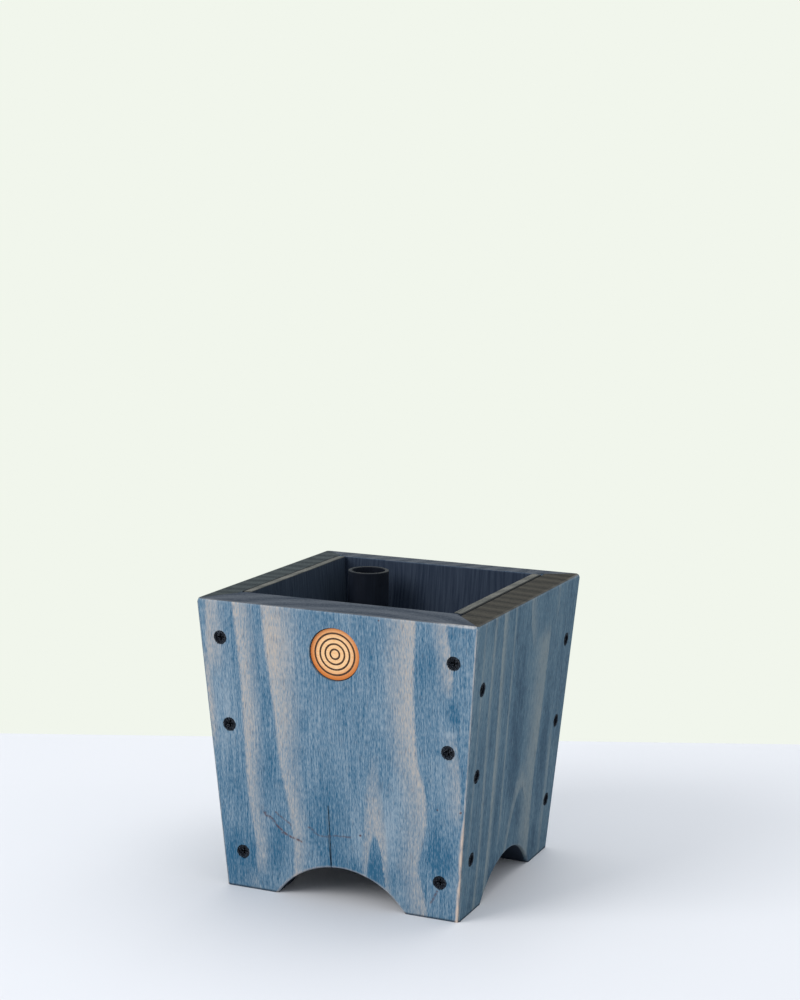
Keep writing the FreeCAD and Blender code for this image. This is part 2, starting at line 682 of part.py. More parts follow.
def make_tray():
    tray = new_body("water_tray")
    rise = "worked.slope * (sizes.tray_height - sizes.tray_wall)"
    add_loft(tray, "tray_block", "AdditiveLoft", "sizes.tray_corner",
             ("worked.floor_top", "worked.tray_half_x", "worked.tray_half_y"),
             ("worked.tray_top", "worked.tray_half_x + worked.tray_spread",
              "worked.tray_half_y + worked.tray_spread"))
    add_loft(tray, "tray_hollow", "SubtractiveLoft", "sizes.tray_corner - sizes.tray_wall",
             ("worked.tray_floor", "worked.tray_inner_x", "worked.tray_inner_y"),
             ("worked.tray_top", f"worked.tray_inner_x + {rise}", f"worked.tray_inner_y + {rise}"))
    overflow = new_sketch(tray, "overflow_outline", "XZ_Plane")
    draw_circle(overflow, "0", "worked.floor_top + sizes.overflow_height", "sizes.overflow_width")
    add_pocket(tray, "overflow", overflow, turned=True)
    return tray


nodes.append(make_tray())


# Soil shelf: a plate with drain holes on four legs, with one corner left open for the tube.
def shelf_hole_places():
    """Places on a square grid that miss the basket, the notch, the legs and the plate's edge."""
    margin = number("sizes.shelf_hole_width")
    pitch = number("sizes.shelf_hole_pitch")
    half_x, half_y = number("worked.shelf_half_x"), number("worked.shelf_half_y")
    rim = number("worked.basket_rim") / 2
    notch = number("worked.notch_x"), number("worked.notch_y")
    legs = [(number(x), number(y)) for x, y in LEG_PLACES]
    clear = (number("sizes.shelf_leg_width") + margin) / 2
    places = []
    for column in range(-int(half_x / pitch), int(half_x / pitch) + 1):
        for row in range(-int(half_y / pitch), int(half_y / pitch) + 1):
            x, y = column * pitch, row * pitch
            at_edge = abs(x) > half_x - margin or abs(y) > half_y - margin
            at_basket = abs(x) < rim + margin / 2 and abs(y) < rim + margin / 2
            at_notch = x < notch[0] + margin and y > notch[1] - margin
            at_leg = any(abs(x - leg_x) < clear and abs(y - leg_y) < clear for leg_x, leg_y in legs)
            if not (at_edge or at_basket or at_notch or at_leg):
                places.append((column, row))
    return places


LEG_PLACES = [
    ("-worked.leg_x", "-worked.leg_y"),
    ("worked.leg_x", "-worked.leg_y"),
    ("worked.leg_x", "worked.leg_y"),
    ("worked.leg_notch_x", "worked.leg_y"),
]


def make_shelf():
    shelf = new_body("soil_shelf")
    outline = new_sketch(shelf, "shelf_outline", offset="worked.shelf_base")
    right, back = "worked.shelf_half_x", "worked.shelf_half_y"
    draw_polygon(outline, [(f"-{right}", f"-{back}"), (right, f"-{back}"), (right, back),
                           ("worked.notch_x", back), ("worked.notch_x", "worked.notch_y"),
                           (f"-{right}", "worked.notch_y")])
    plate = add_pad(shelf, "shelf_plate", outline, "sizes.shelf_thickness")
    doc.recompute()
    half_x, half_y = number(right), number(back)
    corners = edges_at(plate, lambda p: near(p.x, half_x) and near(p.y, half_y),
                       lambda p: near(p.x, half_x) and near(p.y, -half_y),
                       lambda p: near(p.x, -half_x) and near(p.y, -half_y))
    add_fillet(shelf, "shelf_corners", plate, corners, "sizes.tray_corner - sizes.tray_wall")
    legs = new_sketch(shelf, "shelf_leg_outline", offset="worked.tray_floor")
    half = "sizes.shelf_leg_width / 2"
    for x, y in LEG_PLACES:
        draw_rectangle(legs, f"{x} - {half}", f"{y} - {half}", f"{x} + {half}", f"{y} + {half}")
    add_pad(shelf, "shelf_legs", legs, "worked.shelf_base - worked.tray_floor")
    holes = new_sketch(shelf, "shelf_hole_outline", offset="worked.tray_top")
    draw_centred(holes, "worked.basket_hole / 2", "worked.basket_hole / 2")
    for column, row in shelf_hole_places():
        draw_circle(holes, f"{column} * sizes.shelf_hole_pitch", f"{row} * sizes.shelf_hole_pitch",
                    "sizes.shelf_hole_width")
    add_pocket(shelf, "shelf_holes", holes, "sizes.shelf_thickness")
    return shelf


nodes.append(make_shelf())


# Wick basket: a slotted square cup that hangs by its flange in the shelf.
def make_basket():
    basket = new_body("wick_basket")
    cup = new_sketch(basket, "basket_cup_outline", offset="worked.basket_base")
    draw_centred(cup, "sizes.basket_width / 2", "sizes.basket_width / 2")
    add_pad(basket, "basket_cup", cup, "worked.tray_top - worked.basket_base")
    rim = new_sketch(basket, "basket_rim_outline", offset="worked.tray_top")
    draw_centred(rim, "worked.basket_rim / 2", "worked.basket_rim / 2")
    add_pad(basket, "basket_rim", rim, "sizes.basket_wall")
    inside = new_sketch(basket, "basket_inside_outline", offset="worked.tray_top + sizes.basket_wall")
    inside_half = "sizes.basket_width / 2 - sizes.basket_wall"
    draw_centred(inside, inside_half, inside_half)
    add_pocket(basket, "basket_inside", inside, "worked.tray_top - worked.basket_base")
    low = "worked.basket_base + sizes.basket_slot_margin"
    high = "worked.shelf_base - sizes.basket_slot_margin"
    for plane in ("XZ_Plane", "YZ_Plane"):
        slots = new_sketch(basket, f"basket_slots_{plane[:2].lower()}_outline", plane)
        for middle in ("-sizes.basket_slot_spread", "sizes.basket_slot_spread"):
            draw_rectangle(slots, f"{middle} - sizes.basket_slot_width / 2", low,
                           f"{middle} + sizes.basket_slot_width / 2", high)
        add_pocket(basket, f"basket_slots_{plane[:2].lower()}", slots, symmetric=True)
    return basket


nodes.append(make_basket())


# Filling tube: stands in the back left corner of the tray, notched at its foot to let water out.
def make_tube():
    tube = new_body("fill_tube")
    section = new_sketch(tube, "tube_section")
    draw_circle(section, "0", "0", "sizes.tube_width")
    draw_circle(section, "0", "0", "sizes.tube_width - 2 * sizes.tube_wall")
    pipe = add_pad(tube, "tube_pipe", section, "worked.tube_length")
    doc.recompute()
    length = number("worked.tube_length")
    mouth = edges_at(pipe, lambda p: near(p.z, length))
    add_fillet(tube, "tube_mouth", pipe, mouth, "sizes.tube_ease")
    for plane in ("XZ_Plane", "YZ_Plane"):
        notch = new_sketch(tube, f"tube_notch_{plane[:2].lower()}_outline", plane)
        half = "sizes.tube_notch_width / 2"
        draw_rectangle(notch, f"-{half}", "-sizes.overrun", half, "sizes.tube_notch_height")
        add_pocket(tube, f"tube_notch_{plane[:2].lower()}", notch, symmetric=True)
    place(tube, ("worked.tube_x", "worked.tube_y", "worked.tray_floor"), ("0 deg", "0 deg", "0 deg"))
    return tube


nodes.append(make_tube())

doc.recompute()

# Nothing is written unless every object of the document came out well.
for item in doc.Objects:
    if "Invalid" in item.State or "Error" in item.State:
        raise RuntimeError(f"{item.Name} failed: {item.State}")
for node in nodes:
    if node.Shape.isNull() or not node.Shape.isValid() or not node.Shape.Solids:
        raise RuntimeError(f"{node.Label} has no valid shape")

os.makedirs("parts", exist_ok=True)
for node in nodes:
    node.Shape.exportStep(f"parts/{node.Label}.step")
    print(node.Label, len(node.Shape.Solids), "solids,", round(node.Shape.Volume, 1), "mm3")
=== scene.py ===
import math

import bpy
from mathutils import Euler, Matrix, Vector


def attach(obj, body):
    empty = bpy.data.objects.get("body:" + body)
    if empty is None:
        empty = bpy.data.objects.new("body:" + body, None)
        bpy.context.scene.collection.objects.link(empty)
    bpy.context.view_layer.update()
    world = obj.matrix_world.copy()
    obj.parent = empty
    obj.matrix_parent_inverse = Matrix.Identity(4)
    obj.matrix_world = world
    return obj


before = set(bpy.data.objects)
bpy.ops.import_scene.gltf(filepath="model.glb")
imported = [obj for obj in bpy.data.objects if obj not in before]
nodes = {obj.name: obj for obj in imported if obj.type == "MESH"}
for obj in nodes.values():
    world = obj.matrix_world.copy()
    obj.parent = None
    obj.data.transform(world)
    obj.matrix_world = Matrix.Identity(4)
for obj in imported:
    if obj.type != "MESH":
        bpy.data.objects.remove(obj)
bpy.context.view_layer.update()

# Sizes of the boards in millimetres, as the solids have them.
MILLIMETRE = 0.001
BASE_HALF = 77.7
CASE_HEIGHT = 183.6
RIM_SPREAD = 14.3
SLOPE = RIM_SPREAD / CASE_HEIGHT
LEAN = math.atan(SLOPE)
BOARD_LENGTH = CASE_HEIGHT / math.cos(LEAN)
FRONT_THICKNESS = 23
SIDE_THICKNESS = 19
ARCH_RADIUS = 51.52
ARCH_RISE = 22.4
SCREW_EDGE_DISTANCE = 13.8
SCREW_HOLE_RADIUS = 4.32
BADGE_BELOW_RIM = 26.2
BADGE_HEIGHT = (CASE_HEIGHT - BADGE_BELOW_RIM) / math.cos(LEAN)
BADGE_RADIUS = 16.3
BADGE_SINK = 1.3
FLOOR_BASE = 39.5

# Each side of the case: its turn from the front, the heights of its screws, and its board's thickness.
TURNS = {"front": 0, "right": math.pi / 2, "back": math.pi, "left": -math.pi / 2}
SCREW_ROWS = ("Low", "Middle", "High")
FRONT_SCREWS = (23.6, 105.6, 160.3)
SIDE_SCREWS = (36.2, 88.9, 142.8)
SCREW_HEIGHTS = {"front": FRONT_SCREWS, "right": SIDE_SCREWS, "back": FRONT_SCREWS, "left": SIDE_SCREWS}
THICKNESS = {"front": FRONT_THICKNESS, "right": SIDE_THICKNESS,
             "back": FRONT_THICKNESS, "left": SIDE_THICKNESS}


def board_matrix(side):
    """Board millimetres to frame metres: X across, Y up the grain, Z out of the outer face."""
    turn = Matrix.Rotation(TURNS[side], 4, "Z")
    stand = Matrix.Rotation(math.pi / 2 + LEAN, 4, "X")
    foot = Matrix.Translation((0, -BASE_HALF * MILLIMETRE, 0))
    return turn @ foot @ stand @ Matrix.Scale(MILLIMETRE, 4)


# Node trees: the sockets that nodes tell apart only by number, and the helper that adds nodes to a tree
MIX_SHARE, MIX_FIRST, MIX_SECOND, MIX_RESULT = 0, 6, 7, 2
CHANCE_LEAST, CHANCE_MOST, CHANCE_RESULT = 2, 3, 1


class Wiring:
    """Adds nodes to one tree. A method that adds a node gives back its output, or those asked for."""

    def __init__(self, tree):
        self.tree = tree

    def feed(self, socket, value):
        if isinstance(value, bpy.types.NodeSocket):
            self.tree.links.new(value, socket)
        else:
            socket.default_value = value

    def add(self, kind, values, output=0, **settings):
        node = self.tree.nodes.new(kind)
        for name, setting in settings.items():
            setattr(node, name, setting)
        for socket, value in values.items():
            self.feed(node.inputs[socket], value)
        return node.outputs[output]

    def group(self, tree, values):
        return self.add("ShaderNodeGroup", values, node_tree=tree)

    def math(self, operation, first, second=0.0, clamp=False):
        return self.add("ShaderNodeMath", {0: first, 1: second}, operation=operation, use_clamp=clamp)

    def plus(self, first, second, clamp=False):
        return self.math("ADD", first, second, clamp)

    def minus(self, first, second):
        return self.math("SUBTRACT", first, second)

    def times(self, first, second, clamp=False):
        return self.math("MULTIPLY", first, second, clamp)

    def swing(self, noise, reach):
        """Noise from 0 to 1 turned into a value that swings to both sides of zero."""
        return self.times(self.minus(noise, 0.5), reach)

    def vector(self, operation, first, second=(0, 0, 0)):
        output = "Value" if operation in ("DOT_PRODUCT", "LENGTH") else "Vector"
        return self.add("ShaderNodeVectorMath", {0: first, 1: second}, output, operation=operation)

    def scaled(self, vector, factor):
        return self.add("ShaderNodeVectorMath", {0: vector, "Scale": factor}, "Vector", operation="SCALE")

    def parts(self, place, letters="XYZ"):
        outputs = self.add("ShaderNodeSeparateXYZ", {0: place}).node.outputs
        return [outputs[letter] for letter in letters]

    def joined(self, x=0.0, y=0.0, z=0.0):
        return self.add("ShaderNodeCombineXYZ", {0: x, 1: y, 2: z})

    def linear(self, value, low, high, start=0.0, end=1.0, kind="LINEAR"):
        """Goes from start to end as the value goes from low to high, and stays there beyond."""
        values = {"Value": value, "From Min": low, "From Max": high, "To Min": start, "To Max": end}
        return self.add("ShaderNodeMapRange", values, interpolation_type=kind)

    def smooth(self, value, low, high, start=0.0, end=1.0):
        """The same with soft ends."""
        return self.linear(value, low, high, start, end, "SMOOTHSTEP")

    def noise(self, place, stretch, detail=2.0, roughness=0.5):
        """Noise from 0 to 1, with so many waves to a millimetre each way."""
        values = {"Vector": self.vector("MULTIPLY", place, stretch), "Scale": 1.0,
                  "Detail": detail, "Roughness": roughness}
        return self.add("ShaderNodeTexNoise", values)

    def mix(self, share, first, second):
        values = {MIX_SHARE: share, MIX_FIRST: first, MIX_SECOND: second}
        return self.add("ShaderNodeMix", values, MIX_RESULT, data_type="RGBA")

    def ramp(self, value, stops):
        """A run of colours, each with the place where it lies between 0 and 1."""
        output = self.add("ShaderNodeValToRGB", {0: value})
        elements = output.node.color_ramp.elements
        while len(elements) < len(stops):
            elements.new(1.0)
        for element, (place, colour) in zip(elements, stops):
            element.position = place
            element.color = colour
        return output

    def strongest(self, masks):
        total = masks[0]
        for mask in masks[1:]:
            total = self.math("MAXIMUM", total, mask)
        return total


FLOAT, VECTOR, COLOUR = "NodeSocketFloat", "NodeSocketVector", "NodeSocketColor"
GEOMETRY, WHOLE_NUMBER, MATERIAL = "NodeSocketGeometry", "NodeSocketInt", "NodeSocketMaterial"


def new_group(name, inputs, outputs, kind="ShaderNodeTree"):
    """A node group: its tree, its wiring, and its inner ends as mappings by name."""
    tree = bpy.data.node_groups.new(name, kind)
    for label, socket in inputs.items():
        tree.interface.new_socket(label, in_out="INPUT", socket_type=socket)
    for label, socket in outputs.items():
        tree.interface.new_socket(label, in_out="OUTPUT", socket_type=socket)
    given = tree.nodes.new("NodeGroupInput").outputs
    result = tree.nodes.new("NodeGroupOutput").inputs
    return tree, Wiring(tree), given, result


# Wood: groups that work in board millimetres, with the grain along Y

# The middle of the growth rings on an end cut, across the board and in depth, and the pitch of the rings.
PITH_ACROSS, PITH_DEPTH, RING_PITCH = 25.0, 130.0, 7.0

# Colours that all four boards share.
PORE_VIOLET = (0.055, 0.050, 0.070, 1)
INNER_DARK, INNER_PALE = (0.016, 0.026, 0.048, 1), (0.046, 0.062, 0.092, 1)
# Painted shade under the arch, laid on the arch's cut face.
SOFFIT_SHADE_BLUE = (0.022, 0.031, 0.048, 1)
# Painted contact shadow along the foot, where the board meets the table.
FOOT_CONTACT_SHADE_BLUE = (0.018, 0.026, 0.040, 1)
# Black of the torn wood and the crack, and painted shade on the countersink walls.
HOLE_BLACK_AND_SHADE = (0.004, 0.007, 0.014, 1)
MARK_BROWN = (0.095, 0.042, 0.040, 1)
RUBBED_GREY, RUBBED_TAN = (0.60, 0.58, 0.56, 1), (0.66, 0.52, 0.42, 1)


def make_fibre_group():
    """Short flecks, long fibres, thin dark pores, uneven stain, and the rings that an end cut shows."""
    tree, wiring, given, result = new_group(
        "pine_fibres", {"Board": VECTOR, "Seed": VECTOR},
        {"Fleck": FLOAT, "Fibre": FLOAT, "Pore": FLOAT, "Cloud": FLOAT, "Rings": FLOAT, "Height": FLOAT})
    place = wiring.vector("ADD", given["Board"], given["Seed"])
    sway = wiring.noise(place, (0.03, 0.012, 0.03), 1.0)
    place = wiring.vector("ADD", place, wiring.joined(wiring.swing(sway, 7.0)))
    fleck = wiring.noise(place, (1.65, 0.28, 1.65), 2.5, 0.62)
    fibre = wiring.noise(place, (0.95, 0.03, 0.95), 3.0, 0.6)
    pore = wiring.smooth(wiring.noise(place, (1.7, 0.12, 1.7), 2.0), 0.58, 0.72)
    cloud = wiring.noise(place, (0.035, 0.016, 0.035), 3.0, 0.55)
    wiring.feed(result["Fleck"], fleck)
    wiring.feed(result["Fibre"], fibre)
    wiring.feed(result["Pore"], pore)
    wiring.feed(result["Cloud"], cloud)

    x, z = wiring.parts(place, "XZ")
    warp = wiring.times(wiring.noise(place, (0.02, 0.0, 0.02), 1.0), 12.0)
    pith = wiring.joined(wiring.minus(x, PITH_ACROSS), wiring.minus(z, PITH_DEPTH))
    radius = wiring.plus(wiring.vector("LENGTH", pith), warp)
    wave = wiring.math("PINGPONG", wiring.math("DIVIDE", radius, RING_PITCH), 1.0)
    streak = wiring.noise(wiring.joined(x, 0.0, radius), (0.05, 1.0, 0.9), 4.0, 0.65)
    speckle = wiring.noise(place, (0.8, 0.8, 0.8), 3.0, 0.65)
    rings = wiring.plus(wiring.times(wave, 0.16), wiring.times(streak, 0.5))
    wiring.feed(result["Rings"], wiring.plus(rings, wiring.times(speckle, 0.34)))
    rough = wiring.plus(wiring.times(fleck, 0.5), wiring.times(fibre, 0.6))
    wiring.feed(result["Height"], wiring.minus(rough, wiring.times(pore, 0.4)))
    return tree


def make_band_group():
    """A pale growth band beside a line up the board: sharp along the line, breaking up on its other side.

    The wood just across the line takes more stain, which is the second output."""
    tree, wiring, given, result = new_group(
        "growth_band",
        {"Board": VECTOR, "Line": FLOAT, "Foot Width": FLOAT, "Rim Width": FLOAT, "Faces": FLOAT,
         "Low": FLOAT, "High": FLOAT, "Fleck": FLOAT},
        {"Mask": FLOAT, "Shade": FLOAT})
    x, y = wiring.parts(given["Board"], "XY")
    inside = wiring.times(wiring.minus(given["Line"], x), given["Faces"])
    inside = wiring.plus(inside, wiring.swing(given["Fleck"], 1.6))
    up = wiring.math("DIVIDE", y, BOARD_LENGTH)
    gain = wiring.times(wiring.minus(given["Rim Width"], given["Foot Width"]), up)
    share = wiring.math("DIVIDE", inside, wiring.plus(given["Foot Width"], gain))
    edge = wiring.smooth(inside, -1.3, 1.5)
    fade = wiring.smooth(share, -0.1, 2.1, 1.0, 0.0)
    soft_end = (-7.0, 9.0)
    start = wiring.smooth(wiring.minus(y, given["Low"]), *soft_end)
    end = wiring.smooth(wiring.minus(given["High"], y), *soft_end)
    length = wiring.times(start, end)
    wiring.feed(result["Mask"], wiring.times(wiring.times(edge, fade), length))
    across = wiring.smooth(inside, -13.0, -1.0)
    wiring.feed(result["Shade"], wiring.times(wiring.times(across, wiring.minus(1.0, edge)), length))
    return tree


def make_arrow_group():
    """Growth rings that close to a point: pale above a curved arrow head, with a clean edge along it."""
    tree, wiring, given, result = new_group(
        "growth_arrow",
        {"Board": VECTOR, "Centre": FLOAT, "Tip": FLOAT, "Steepness": FLOAT, "Fade": FLOAT,
         "Fleck": FLOAT},
        {"Mask": FLOAT, "Shade": FLOAT})
    x, y = wiring.parts(given["Board"], "XY")
    aside = wiring.plus(wiring.minus(x, given["Centre"]), wiring.swing(given["Fleck"], 3.0))
    fall = wiring.times(wiring.times(aside, aside), given["Steepness"])
    above = wiring.plus(wiring.minus(y, given["Tip"]), fall)
    edge = wiring.smooth(above, -2.0, 3.0)
    fade = wiring.linear(wiring.math("DIVIDE", above, given["Fade"]), 0.3, 1.2, 1.0, 0.0)
    wiring.feed(result["Mask"], wiring.times(edge, fade))
    under = wiring.smooth(above, -26.0, -2.0)
    wiring.feed(result["Shade"], wiring.times(under, wiring.minus(1.0, edge)))
    return tree


def make_patch_group():
    """A soft oval where the stain took more or less than round it."""
    tree, wiring, given, result = new_group(
        "stain_patch", {"Board": VECTOR, "Centre": VECTOR, "Reach": VECTOR}, {"Mask": FLOAT})
    away = wiring.vector("SUBTRACT", given["Board"], given["Centre"])
    x, y = wiring.parts(wiring.vector("DIVIDE", away, given["Reach"]), "XY")
    ragged = wiring.swing(wiring.noise(given["Board"], (0.16, 0.07, 0.0), 3.0, 0.6), 1.1)
    distance = wiring.plus(wiring.vector("LENGTH", wiring.joined(x, y)), ragged)
    wiring.feed(result["Mask"], wiring.smooth(distance, 1.15, 0.25))
    return tree


def make_stroke_group():
    """A scratch, a pit or a crack in the outer face, of a given width, between two points of the board.

    Faintest is how much of it is left where it breaks up."""
    tree, wiring, given, result = new_group(
        "stroke",
        {"Board": VECTOR, "Start": VECTOR, "End": VECTOR, "Width": FLOAT, "Wobble": FLOAT,
         "Faintest": FLOAT},
        {"Mask": FLOAT})
    shake = wiring.swing(wiring.noise(given["Board"], (0.2, 0.2, 0.2), 2.0), given["Wobble"])
    place = wiring.vector("ADD", given["Board"], wiring.joined(shake, shake))
    run = wiring.vector("SUBTRACT", given["End"], given["Start"])
    reach = wiring.vector("SUBTRACT", place, given["Start"])
    length = wiring.plus(wiring.vector("DOT_PRODUCT", run, run), 0.001)
    share = wiring.math("DIVIDE", wiring.vector("DOT_PRODUCT", reach, run), length, clamp=True)
    miss = wiring.vector("LENGTH", wiring.vector("SUBTRACT", reach, wiring.scaled(run, share)))
    gaps = wiring.noise(given["Board"], (0.6, 0.6, 0.6), 2.0)
    broken = wiring.smooth(gaps, 0.36, 0.6, given["Faintest"], 1.0)
    line = wiring.smooth(wiring.math("DIVIDE", miss, given["Width"]), 0.2, 1.0, 1.0, 0.0)
    wiring.feed(result["Mask"], wiring.times(line, broken))
    return tree


def arch_spoke(wiring, x, y):
    """How far a place on the board is from the middle of the arch's circle."""
    return wiring.vector("LENGTH", wiring.joined(x, wiring.plus(y, ARCH_RADIUS - ARCH_RISE)))


def make_wear_group():
    """Bare wood along the edges of a board, broken up, with its own strength on each edge.

    The rim is barer near the right corner, and low on the right edge the wood can be rubbed wider."""
    tree, wiring, given, result = new_group(
        "edge_wear",
        {"Board": VECTOR, "Seed": VECTOR, "Left": FLOAT, "Right": FLOAT, "Rim": FLOAT, "Arch": FLOAT,
         "Low Right": FLOAT},
        {"Mask": FLOAT})
    x, y, z = wiring.parts(given["Board"])
    place = wiring.vector("ADD", given["Board"], given["Seed"])
    chips = wiring.noise(place, (0.35, 0.09, 0.35), 4.0, 0.65)
    half = wiring.plus(BASE_HALF, wiring.times(y, math.sin(LEAN)))
    widened = wiring.times(wiring.smooth(y, 68.0, 52.0), given["Low Right"])
    distances = {
        "Left": wiring.plus(half, x),
        "Right": wiring.math("DIVIDE", wiring.minus(half, x), wiring.plus(widened, 1.0)),
        "Rim": wiring.minus(BOARD_LENGTH, y),
        "Arch": wiring.minus(arch_spoke(wiring, x, y), ARCH_RADIUS),
    }
    corner = wiring.times(wiring.smooth(x, 60.0, 86.0, 0.0, 0.6), given["Right"])
    strengths = {edge: given[edge] for edge in distances}
    strengths["Rim"] = wiring.plus(given["Rim"], corner)
    reach = wiring.plus(0.8, wiring.times(chips, 2.0))
    masks = []
    for edge, distance in distances.items():
        mask = wiring.smooth(wiring.math("DIVIDE", distance, reach), 0.4, 1.0, 1.0, 0.0)
        masks.append(wiring.times(mask, strengths[edge]))
    outer = wiring.smooth(z, -2.2, -1.0)
    patchy = wiring.smooth(chips, 0.34, 0.54, 0.5, 1.0)
    wiring.feed(result["Mask"], wiring.times(wiring.times(wiring.strongest(masks), outer), patchy))
    return tree


def make_hole_group():
    """Dark torn wood round the six screw holes of a board, and the walls of the holes blackened by depth:
    torn wood that soaks up stain, with painted shade in the countersinks.
    """
    tree, wiring, given, result = new_group(
        "screw_holes", {"Board": VECTOR, "Fleck": FLOAT, **dict.fromkeys(SCREW_ROWS, FLOAT)},
        {"Mask": FLOAT})
    x, y, z = wiring.parts(given["Board"])
    aside = wiring.math("ABSOLUTE", x)
    nearest = None
    for row in SCREW_ROWS:
        edge = wiring.plus(BASE_HALF - SCREW_EDGE_DISTANCE, wiring.times(given[row], SLOPE))
        up = wiring.minus(y, wiring.math("DIVIDE", given[row], math.cos(LEAN)))
        distance = wiring.vector("LENGTH", wiring.joined(wiring.minus(aside, edge), up))
        nearest = distance if nearest is None else wiring.math("MINIMUM", nearest, distance)
    ragged = wiring.plus(nearest, wiring.swing(given["Fleck"], 3.0))
    torn = wiring.smooth(ragged, SCREW_HOLE_RADIUS + 0.3, SCREW_HOLE_RADIUS - 0.3, 0.0, 0.9)
    near = wiring.smooth(nearest, SCREW_HOLE_RADIUS + 0.7, SCREW_HOLE_RADIUS + 0.3)
    # Painted shade: the countersink walls darken with depth below the face.
    wall = wiring.times(near, wiring.smooth(z, -0.05, -0.5))
    wiring.feed(result["Mask"], wiring.math("MAXIMUM", torn, wall))
    return tree


def make_stain_and_shade_group():
    """Stained pine: blue that takes unevenly, pale bands, dark end grain, a dark inside, marks and wear,
    with painted shade on the arch's cut face, along the foot and in the screw holes.

    Foot Band is how much of their strength the bands keep low on the board."""
    tree, wiring, given, result = new_group(
        "stained_pine",
        {"Board": VECTOR, "Fleck": FLOAT, "Fibre": FLOAT, "Pore": FLOAT, "Cloud": FLOAT, "Rings": FLOAT,
         "Band": FLOAT, "Foot Band": FLOAT, "Lift": FLOAT, "Contrast": FLOAT, "Hole": FLOAT,
         "Wear": FLOAT, "Mark": FLOAT, "Thickness": FLOAT, "Deep": COLOUR, "Middle": COLOUR,
         "Pale": COLOUR, "Bare": COLOUR, "End Dark": COLOUR, "End Pale": COLOUR},
        {"Colour": COLOUR, "Roughness": FLOAT})
    x, y, z = wiring.parts(given["Board"])
    grain = wiring.plus(wiring.swing(given["Fleck"], 1.45), wiring.swing(given["Fibre"], 1.0))
    grain = wiring.times(grain, given["Contrast"])
    grain = wiring.plus(grain, wiring.swing(given["Cloud"], 0.5))
    deep, middle, light = 0.15, 0.5, 0.85
    tone = wiring.plus(grain, wiring.plus(given["Lift"], middle))
    colour = wiring.mix(wiring.linear(tone, deep, middle), given["Deep"], given["Middle"])
    colour = wiring.mix(wiring.linear(tone, middle, light), colour, given["Pale"])
    pale = wiring.mix(wiring.linear(tone, deep, light), given["Pale"], given["Bare"])
    broken = wiring.plus(1.0, wiring.swing(given["Fleck"], 1.5))
    band = wiring.times(given["Band"], wiring.linear(y, 40.0, 120.0, given["Foot Band"], 1.0))
    band = wiring.times(band, broken, clamp=True)
    colour = wiring.mix(band, colour, pale)
    pore = wiring.times(given["Pore"], wiring.plus(0.42, wiring.times(band, 0.18)))
    colour = wiring.mix(pore, colour, wiring.mix(0.6, given["Deep"], PORE_VIOLET))

    end = wiring.math("MAXIMUM", wiring.smooth(y, BOARD_LENGTH - 0.5, BOARD_LENGTH - 0.1),
                      wiring.smooth(y, 0.25, -0.2))
    rings = wiring.mix(wiring.linear(given["Rings"], 0.34, 0.66), given["End Dark"], given["End Pale"])
    colour = wiring.mix(end, colour, rings)
    depth = wiring.plus(z, given["Thickness"])
    inside = wiring.times(wiring.smooth(depth, 0.9, 0.2), wiring.minus(1.0, end))
    wall = wiring.mix(wiring.linear(given["Fibre"], 0.3, 0.7), INNER_DARK, INNER_PALE)
    colour = wiring.mix(inside, colour, wall)
    # Painted shade: the arch's cut face is darkened for the shade under the arch.
    soffit_shade = wiring.smooth(arch_spoke(wiring, x, y), ARCH_RADIUS + 0.5, ARCH_RADIUS + 0.1)
    soffit_shade = wiring.times(soffit_shade, wiring.smooth(z, -1.5, -3.0))
    colour = wiring.mix(soffit_shade, colour, SOFFIT_SHADE_BLUE)
    # Painted shade: a dark line along the bottom of the face stands in for the contact shadow on the
    # table.
    foot_contact_shade = wiring.smooth(y, 1.8, 0.5, 0.0, 0.8)
    colour = wiring.mix(foot_contact_shade, colour, FOOT_CONTACT_SHADE_BLUE)
    colour = wiring.mix(given["Hole"], colour, HOLE_BLACK_AND_SHADE)
    colour = wiring.mix(given["Mark"], colour, MARK_BROWN)
    rubbed = wiring.mix(wiring.smooth(y, 80.0, 50.0), RUBBED_GREY, RUBBED_TAN)
    colour = wiring.mix(given["Wear"], colour, rubbed)
    wiring.feed(result["Colour"], colour)
    rough = wiring.linear(given["Fleck"], 0.2, 0.8, 0.62, 0.84)
    wiring.feed(result["Roughness"], wiring.plus(rough, wiring.times(end, 0.3), clamp=True))
    return tree


FIBRES = make_fibre_group()
BAND = make_band_group()
ARROW = make_arrow_group()
PATCH = make_patch_group()
STROKE = make_stroke_group()
WEAR = make_wear_group()
HOLES = make_hole_group()
STAIN_AND_SHADE = make_stain_and_shade_group()


def new_material(name, gloss):
    """A material with a plain gloss, its wiring, and the inputs of its shader."""
    material = bpy.data.materials.new(name)
    material.use_nodes = True
    shader = material.node_tree.nodes["Principled BSDF"].inputs
    shader["Specular IOR Level"].default_value = gloss
    return material, Wiring(material.node_tree), shader


def own_place(wiring, matrix):
    """Object coordinates turned into a piece's own millimetres."""
    position, turn, size = matrix.decompose()
    place = wiring.add("ShaderNodeTexCoord", {}, "Object")
    values = {"Vector": place, "Location": position, "Rotation": turn.to_euler(), "Scale": size}
    return wiring.add("ShaderNodeMapping", values, vector_type="TEXTURE")


def bump(wiring, height, strength, distance):
    """The normal of a surface that is as rough as the height says, over a distance in metres."""
    values = {"Height": height, "Strength": strength, "Distance": distance}
    return wiring.add("ShaderNodeBump", values, "Normal")


